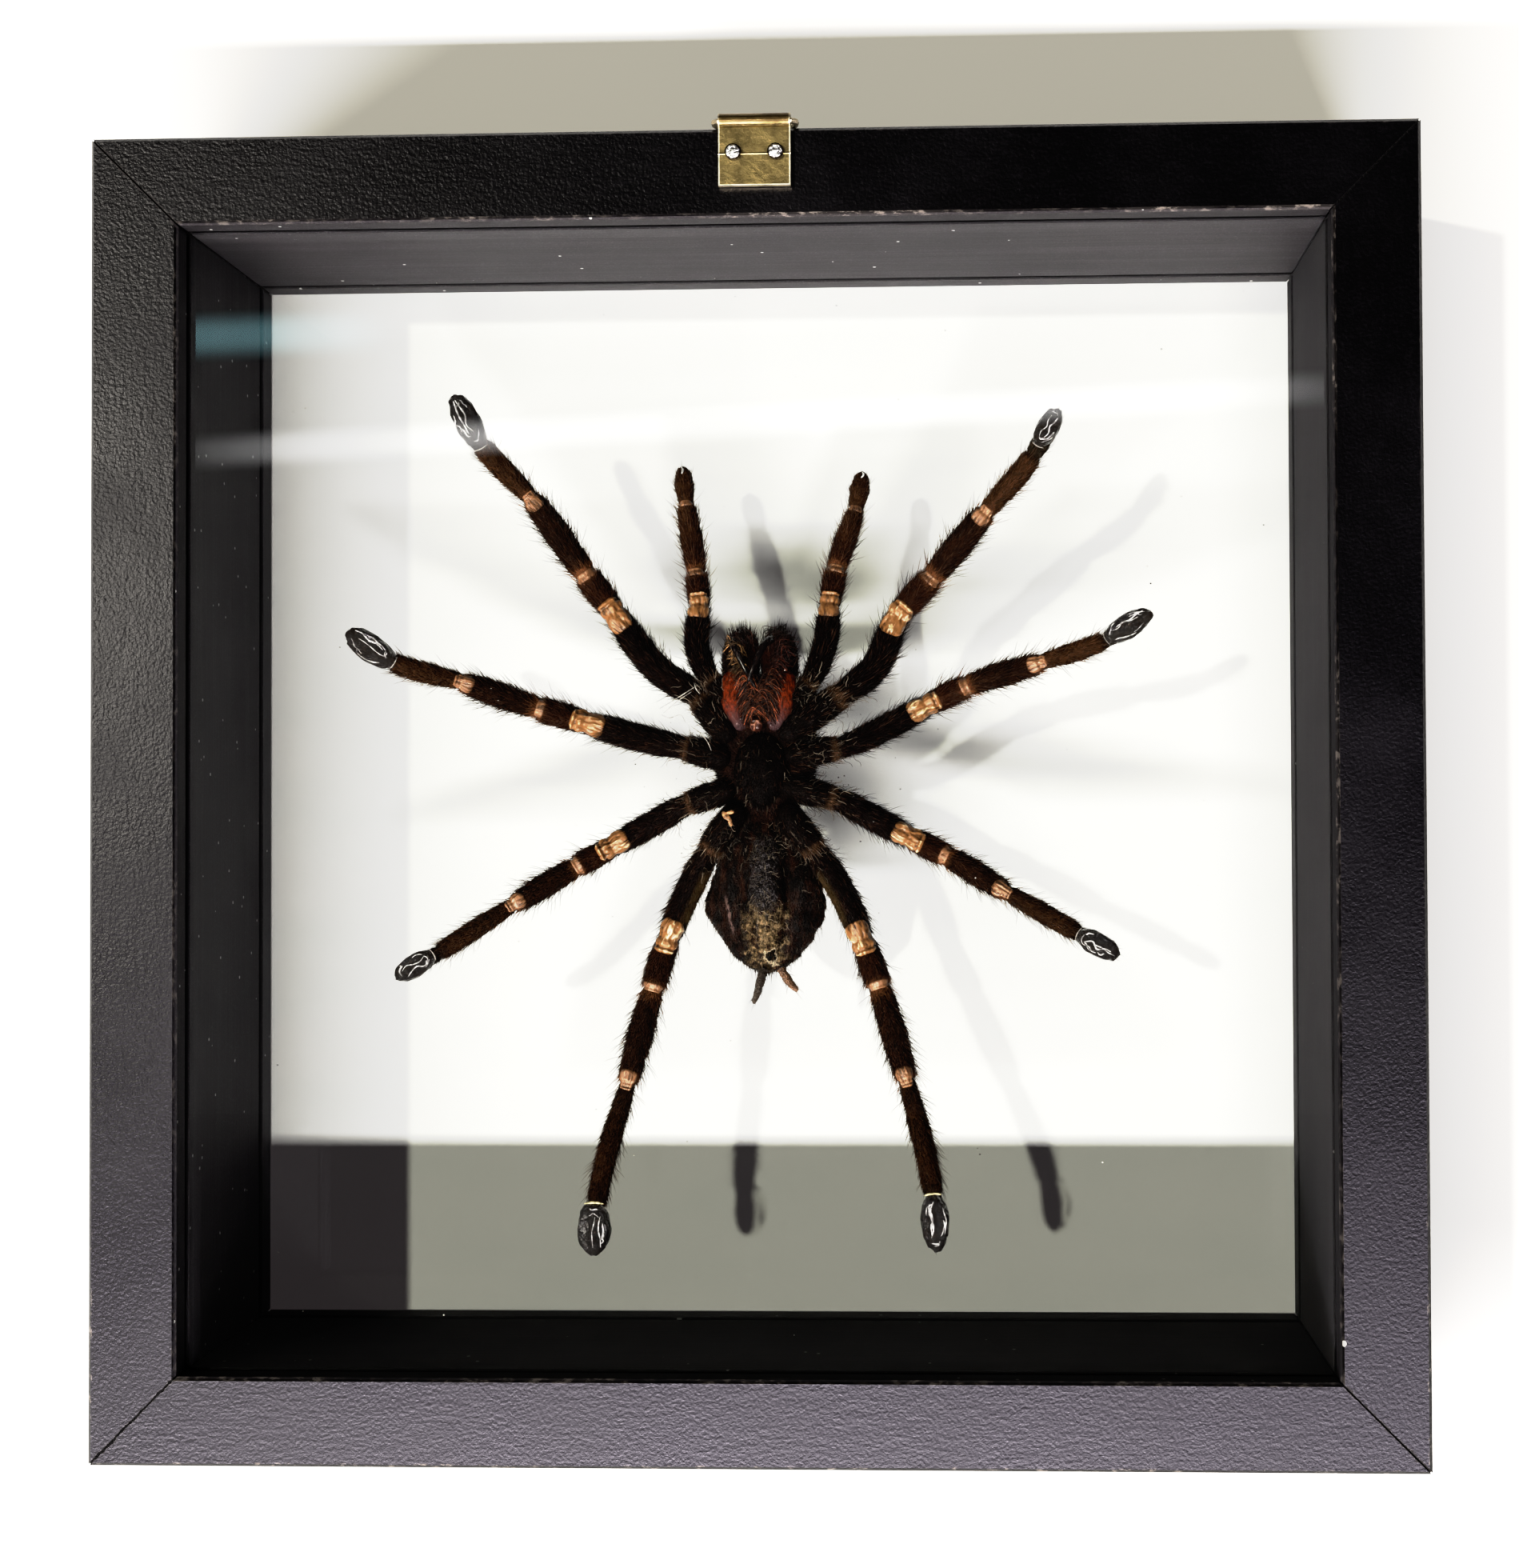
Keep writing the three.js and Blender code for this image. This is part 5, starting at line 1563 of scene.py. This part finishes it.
class MakeStage(bpy.types.Operator):
    """Lay the pale floor and set the lights and the camera"""

    bl_idname = "specimen.make_stage"
    bl_label = "Stage"

    def execute(self, context):
        look = settings()[2]
        scene = context.scene
        scene.view_settings.view_transform = "Standard"
        self.tone_curve(scene.view_settings)
        scene.cycles.caustics_refractive = False
        scene.cycles.caustics_reflective = False
        floor = plate("floor", FLOOR_HALF, FLOOR_HALF)
        floor.location.z = FLOOR_LEVEL
        floor.data.materials.append(self.floor_material(look))
        self.tube_lamp("tube_lamp", look.tube_light)
        self.sun("left_light", look.left_light)
        for strip in GLINTS:
            self.glint(*strip)
        self.room_light(scene, look.ambient)
        self.camera(scene)
        return {"FINISHED"}

    def camera(self, scene):
        camera = bpy.data.cameras.new("camera")
        camera.lens = CAMERA_LENS
        camera.sensor_width = CAMERA_SENSOR
        camera.shift_x, camera.shift_y = CAMERA_SHIFT
        camera.clip_start = 0.01
        stand = bpy.data.objects.new("camera", camera)
        scene.collection.objects.link(stand)
        stand.location = CAMERA_PLACE
        stand.rotation_euler = [math.radians(turn) for turn in CAMERA_TURN]
        scene.camera = stand

    def room_light(self, scene, strength):
        world = bpy.data.worlds.new("room")
        scene.world = world
        world.use_nodes = True
        background = next(n for n in world.node_tree.nodes if n.type == "BACKGROUND")
        background.inputs["Color"].default_value = ROOM_TINT
        background.inputs["Strength"].default_value = strength

    def tone_curve(self, view):
        """Deepens the darkest tones a little and rolls off the brightest."""
        view.use_curve_mapping = True
        curve = view.curve_mapping
        curve.white_level = (WHITE_LEVEL, WHITE_LEVEL, WHITE_LEVEL)
        line = curve.curves[3]
        line.points[0].location = (0, 0)
        line.points[1].location = (1, 1)
        for at, shown in TONES:
            line.points.new(at, shown)
        for point in line.points:
            point.handle_type = "AUTO_CLAMPED"
        curve.update()

    def floor_material(self, look):
        material, w, shader, place = new_material("table_top", 0.85, specular=0.15)
        cloudy = w.noise(place, 6.0, 3.0)
        tone = tuple(look.floor)
        shader.inputs["Emission Color"].default_value = (0.05, 0.043, 0.045, 1)
        shader.inputs["Emission Strength"].default_value = 1.0
        clouds = w.blend(w.ramp(cloudy, 0.35, 0.65, 0, 0.5), tone, shade(tone, 0.97))
        w.feed(shader.inputs["Base Color"], clouds)
        return material

    def place_lamp(self, name, lamp, towards):
        stand = bpy.data.objects.new(name, lamp)
        stand.rotation_euler = Vector(towards).to_track_quat("Z", "Y").to_euler()
        lamp.cycles.use_multiple_importance_sampling = False
        bpy.context.scene.collection.objects.link(stand)
        return stand

    def sun(self, name, strength):
        lamp = bpy.data.lights.new(name, "SUN")
        lamp.energy = strength
        lamp.color = LEFT_TINT
        lamp.angle = math.radians(LEFT_SPREAD)
        self.place_lamp(name, lamp, LEFT_WAY)

    def tube_lamp(self, name, power):
        """A long lamp that lies across the frame's width and faces its middle."""
        lamp = bpy.data.lights.new(name, "AREA")
        lamp.shape = "RECTANGLE"
        lamp.size, lamp.size_y = TUBE_SIZE
        lamp.energy = power
        lamp.color = TUBE_TINT
        stand = self.place_lamp(name, lamp, (0, *TUBE_PLACE[1:]))
        stand.location = TUBE_PLACE

    def glint(self, name, place, slant, size, tint, glow, mirrored_by):
        """A soft-edged bright strip overhead, mirrored only in the nodes named."""
        half_long, half_wide = size[0] / 2, size[1] / 2
        strip = plate(name, half_long, half_wide)
        strip.location = place
        strip.rotation_euler = (0, 0, math.radians(slant))
        for ray in ("visible_camera", "visible_diffuse", "visible_transmission", "visible_shadow"):
            setattr(strip, ray, False)
        material = bpy.data.materials.new(name)
        material.use_nodes = True
        material.node_tree.nodes.clear()
        w = Wires(material.node_tree)
        at = w.parts(w.add("ShaderNodeTexCoord").outputs["Object"])
        soft = w.ramp(w.absolute(at[1]), half_wide * 0.1, half_wide, 1.0, 0.0)
        ends = w.ramp(w.absolute(at[0]), half_long * 0.55, half_long, 1.0, 0.0)
        strength = w.times(soft, ends, glow)
        lit = w.add("ShaderNodeEmission", {"Color": (*tint, 1), "Strength": strength})
        w.add("ShaderNodeOutputMaterial", {"Surface": lit.outputs[0]})
        strip.data.materials.append(material)
        mirrors = bpy.data.collections.new(name + "_mirrors")
        for node in mirrored_by:
            mirrors.objects.link(NODES[node])
        strip.light_linking.receiver_collection = mirrors


class FinishFrame(bpy.types.Operator):
    """Paint the four rails, and give the panes and the hanger their materials"""

    bl_idname = "specimen.finish_frame"
    bl_label = "Frame, Glass and Hanger"

    def execute(self, context):
        for nodes, name, make in (
                (RAILS[:2], "paint_across", lambda n: paint_material(n, True)),
                (RAILS[2:], "paint_upright", lambda n: paint_material(n, False)),
                (PANES, "picture_glass", pane_material),
                (HANGER, "scratched_brass", brass_material),
                (NAILS, "hammered_steel", nail_material)):
            material = finished(name, make)
            for node in nodes:
                for slot in NODES[node].material_slots:
                    slot.material = material
        filler = finished("dry_filler", filler_material)
        gaps = finish_piece(mitre_filler(), "mitre_filler", [filler], "black_paint")
        for polygon in gaps.data.polygons:
            polygon.use_smooth = False
        return {"FINISHED"}


class MakeLimbs(bpy.types.Operator):
    """Make the eight legs and two pedipalps with the bare skin at their joints"""

    bl_idname = "specimen.make_limbs"
    bl_label = "Legs and Pedipalps"

    def execute(self, context):
        cuticle = finished("dark_cuticle", cuticle_material)
        gold = finished("golden_membrane", membrane_material)
        tan = finished("tan_ring_skin", ring_skin_material)
        for number, name in enumerate(LIMBS):
            shell, spine = limb_shell(name)
            finish_piece(shell, name + "_shell", [cuticle], "cuticle", name)
            radii = girth(name, spine.numbers)
            pads = Shell()
            for i, shape in enumerate(membranes_of(name)):
                points, faces, tone = membrane_pad(spine, radii, *shape, number * 3.1 + i)
                shown = tone * (0.6 if i else PAD_TONES.get(name, 1.0))
                pads.add(points, faces, 0 if i == 0 else 1, coat=np.outer(shown, (1, 1, 1)))
            finish_piece(pads, name + "_membranes", [gold, tan], "cuticle")
        return {"FINISHED"}


class MakeTrunk(bpy.types.Operator):
    """Make the cephalothorax: carapace, sternum, coxae, labium and the two orange maxillae"""

    bl_idname = "specimen.make_trunk"
    bl_label = "Cephalothorax"

    def execute(self, context):
        cuticle = finished("dark_cuticle", cuticle_material)
        labium = finished("labium_skin", labium_material)
        finish_piece(trunk_shell(), "cephalothorax_shell", [cuticle, labium], "cuticle",
                     "cephalothorax")
        lobes = Shell()
        for side in (-1, 1):
            points, faces = maxilla_points(side)
            inner = np.clip((0.0 - points[:, 0]) * side + 3.4, 0, 1)
            way = units(np.array((-side * 0.9, -0.35, 0.2)))
            lobes.add(points, faces, along=way, coat=(0.05, 0.014, 0.006), felt=inner * 0.25,
                      bristle=inner * 0.45, reach=0.6)
        orange = finished("orange_maxilla", maxilla_material)
        finish_piece(lobes, "maxillae", [orange], "cuticle")
        fine = finished("fringe_hair", fringe_material)
        finish_piece(mouth_fringe(), "mouth_fringe", [fine], "cuticle")
        return {"FINISHED"}


class MakeJaws(bpy.types.Operator):
    """Make the two chelicerae and their crossed fangs"""

    bl_idname = "specimen.make_jaws"
    bl_label = "Chelicerae and Fangs"

    def execute(self, context):
        cuticle = finished("dark_cuticle", cuticle_material)
        horn = finished("fang_horn", fang_material)
        for side, name in ((-1, "right"), (1, "left")):
            finish_piece(chelicera_shell(side), name + "_chelicera_shell", [cuticle], "cuticle",
                         name + "_chelicera")
            points, faces, _ = fang_points(side)
            fang = Shell()
            fang.add(points, faces)
            finish_piece(fang, name + "_fang_horn", [horn], "fang", name + "_fang")
        return {"FINISHED"}


class MakeAbdomen(bpy.types.Operator):
    """Make the shrunken abdomen and its two spinnerets"""

    bl_idname = "specimen.make_abdomen"
    bl_label = "Abdomen and Spinnerets"

    def execute(self, context):
        skin = finished("shrunken_skin", abdomen_material)
        finish_piece(abdomen_shell(), "abdomen_shell", [skin], "cuticle", "abdomen")
        for name, (stations, first, second) in SPINNERETS.items():
            spine = Spine(stations, 0.3)
            t = spine.numbers / 2
            radii = np.interp(t, (0, 0.45, 0.5, 0.56, 0.9, 1), (0.8, 0.72, 0.6, 0.68, 0.5, 0.25))
            points, faces, ways = tube(spine, radii, 16, 0.9, 0.1, 5)
            shell = Shell()
            shell.add(points, faces, along=ways, coat=first, felt=0.5, bristle=0.5, reach=0.5)
            material = skin_material(name + "_skin", first, second, shade(first, 1.6), 0.6)
            finish_piece(shell, name + "_shell", [material], "spinneret", name)
        return {"FINISHED"}


class MakeGlue(bpy.types.Operator):
    """Make the clear glue that holds the feet to the back pane, the white lines painted as its
    highlights, threads, dust and lint
    """

    bl_idname = "specimen.make_glue"
    bl_label = "Glue"

    def execute(self, context):
        clear = finished("clear_glue", glue_material)
        for name in LEGS:
            points, faces = glue_points(name)
            blob = Shell()
            blob.add(points, faces)
            finish_piece(blob, name + "_glue_blob", [clear], "glue", name + "_glue")
        pale = finished("fringe_hair", fringe_material)
        finish_piece(glue_threads(), "glue_threads", [pale], "glue")
        finish_piece(stray_bits(), "stray_bits", [pale], "glue")
        return {"FINISHED"}


# Strands of unit length: (height, radius, bend) of each ring, then of the tip.
FELT_STRAND = ((0, 0.5, 0), (1, 0, 0))
BRISTLE_STRAND = ((0, 0.5, 0), (0.4, 0.4, 1.0), (0.75, 0.24, 3.2), (1, 0, 5.5))
CURL_STRAND = ((0, 0.034, 0), (0.22, 0.032, 0.03), (0.42, 0.03, 0.15), (0.54, 0.027, 0.33),
               (0.70, 0.023, 0.46), (0.88, 0.018, 0.50), (1.0, 0, 0.40))
PER_SQUARE_METRE = 1e6


class GrowHair(bpy.types.Operator):
    """Grow the felt and the long bristles on the legs and the body"""

    bl_idname = "specimen.grow_hair"
    bl_label = "Hair"

    def execute(self, context):
        look = settings()[1]
        short = strand_mesh("felt_strand", FELT_STRAND)
        long = strand_mesh("bristle_strand", BRISTLE_STRAND)
        hoop = strand_mesh("curl_strand", CURL_STRAND)
        brown = finished("felt_hair_brown", lambda n: hair_material(n, 0.6, 0.02, 0.06))
        dark = finished("bristle_hair_dark", lambda n: hair_material(n, 0.38, 0.14, 0.14))
        pale = finished("curled_hair_pale", pale_hair_material)
        felt = hair_tree("felt_hair", "felt", short, brown)
        bristles = hair_tree("bristle_hair", "bristle", long, dark)
        curls = hair_tree("curled_hair", "curl", hoop, pale, True)
        thin = 1.0
        felt_look = {"Hairs per Square Metre": look.felt_density * PER_SQUARE_METRE * thin,
                     "Longest": look.felt_length, "Width": look.felt_width / thin ** 0.5,
                     "Lean": 0.8, "Disorder": 0.15, "Rare Length": 0.8, "Seed": look.seed}
        long_look = {"Hairs per Square Metre": look.bristle_density * PER_SQUARE_METRE * thin,
                     "Longest": look.bristle_length, "Width": look.bristle_width,
                     "Lean": 0.55, "Disorder": 0.2, "Rare Length": 3.2, "Seed": look.seed + 50}
        curl_look = {"Hairs per Square Metre": look.curl_density * PER_SQUARE_METRE,
                     "Longest": look.curl_length, "Lean": 0.1, "Disorder": 0.9,
                     "Rare Length": 1.2, "Seed": look.seed + 90}
        beds = {"right_legs": [n + "_shell" for n in LEGS if "right" in n],
                "left_legs": [n + "_shell" for n in LEGS if "left" in n],
                "body": [n + "_shell" for n in PALPS] + [
                    "cephalothorax_shell", "maxillae", "right_chelicera_shell",
                    "left_chelicera_shell", "abdomen_shell", "right_spinneret_shell",
                    "left_spinneret_shell"]}
        for bed, pieces in beds.items():
            grow("felt_" + bed, pieces, felt, felt_look)
            grow("bristles_" + bed, pieces, bristles, long_look)
        grow("curls", [n + "_shell" for n in LEGS] + beds["body"], curls, curl_look)
        for strand in (short, long, hoop):
            discard(strand)
        return {"FINISHED"}


OPERATORS = (MakeStage, FinishFrame, MakeLimbs, MakeTrunk, MakeJaws, MakeAbdomen, MakeGlue,
             GrowHair)


class SpecimenPanel(bpy.types.Panel):
    """Lists the steps that make the specimen"""

    bl_idname = "VIEW3D_PT_specimen"
    bl_label = "Framed Tarantula"
    bl_space_type = "VIEW_3D"
    bl_region_type = "UI"
    bl_category = "Specimen"

    def draw(self, context):
        for operator in OPERATORS:
            self.layout.operator(operator.bl_idname)
        for group in settings():
            box = self.layout.box()
            for key in group.__annotations__:
                box.prop(group, key)


GROUPS = {"specimen_frame": SpecimenFrameSettings, "specimen_spider": SpecimenSpiderSettings,
          "specimen_stage": SpecimenStageSettings}


def register():
    for cls in (*GROUPS.values(), *OPERATORS, SpecimenPanel):
        bpy.utils.register_class(cls)
    for key, cls in GROUPS.items():
        setattr(bpy.types.Scene, key, PointerProperty(type=cls))


def unregister():
    for key in GROUPS:
        delattr(bpy.types.Scene, key)
    for cls in reversed((*GROUPS.values(), *OPERATORS, SpecimenPanel)):
        bpy.utils.unregister_class(cls)


def main():
    register()
    for operator in OPERATORS:
        group, name = operator.bl_idname.split(".")
        getattr(getattr(bpy.ops, group), name)()


if __name__ == "__main__":
    main()
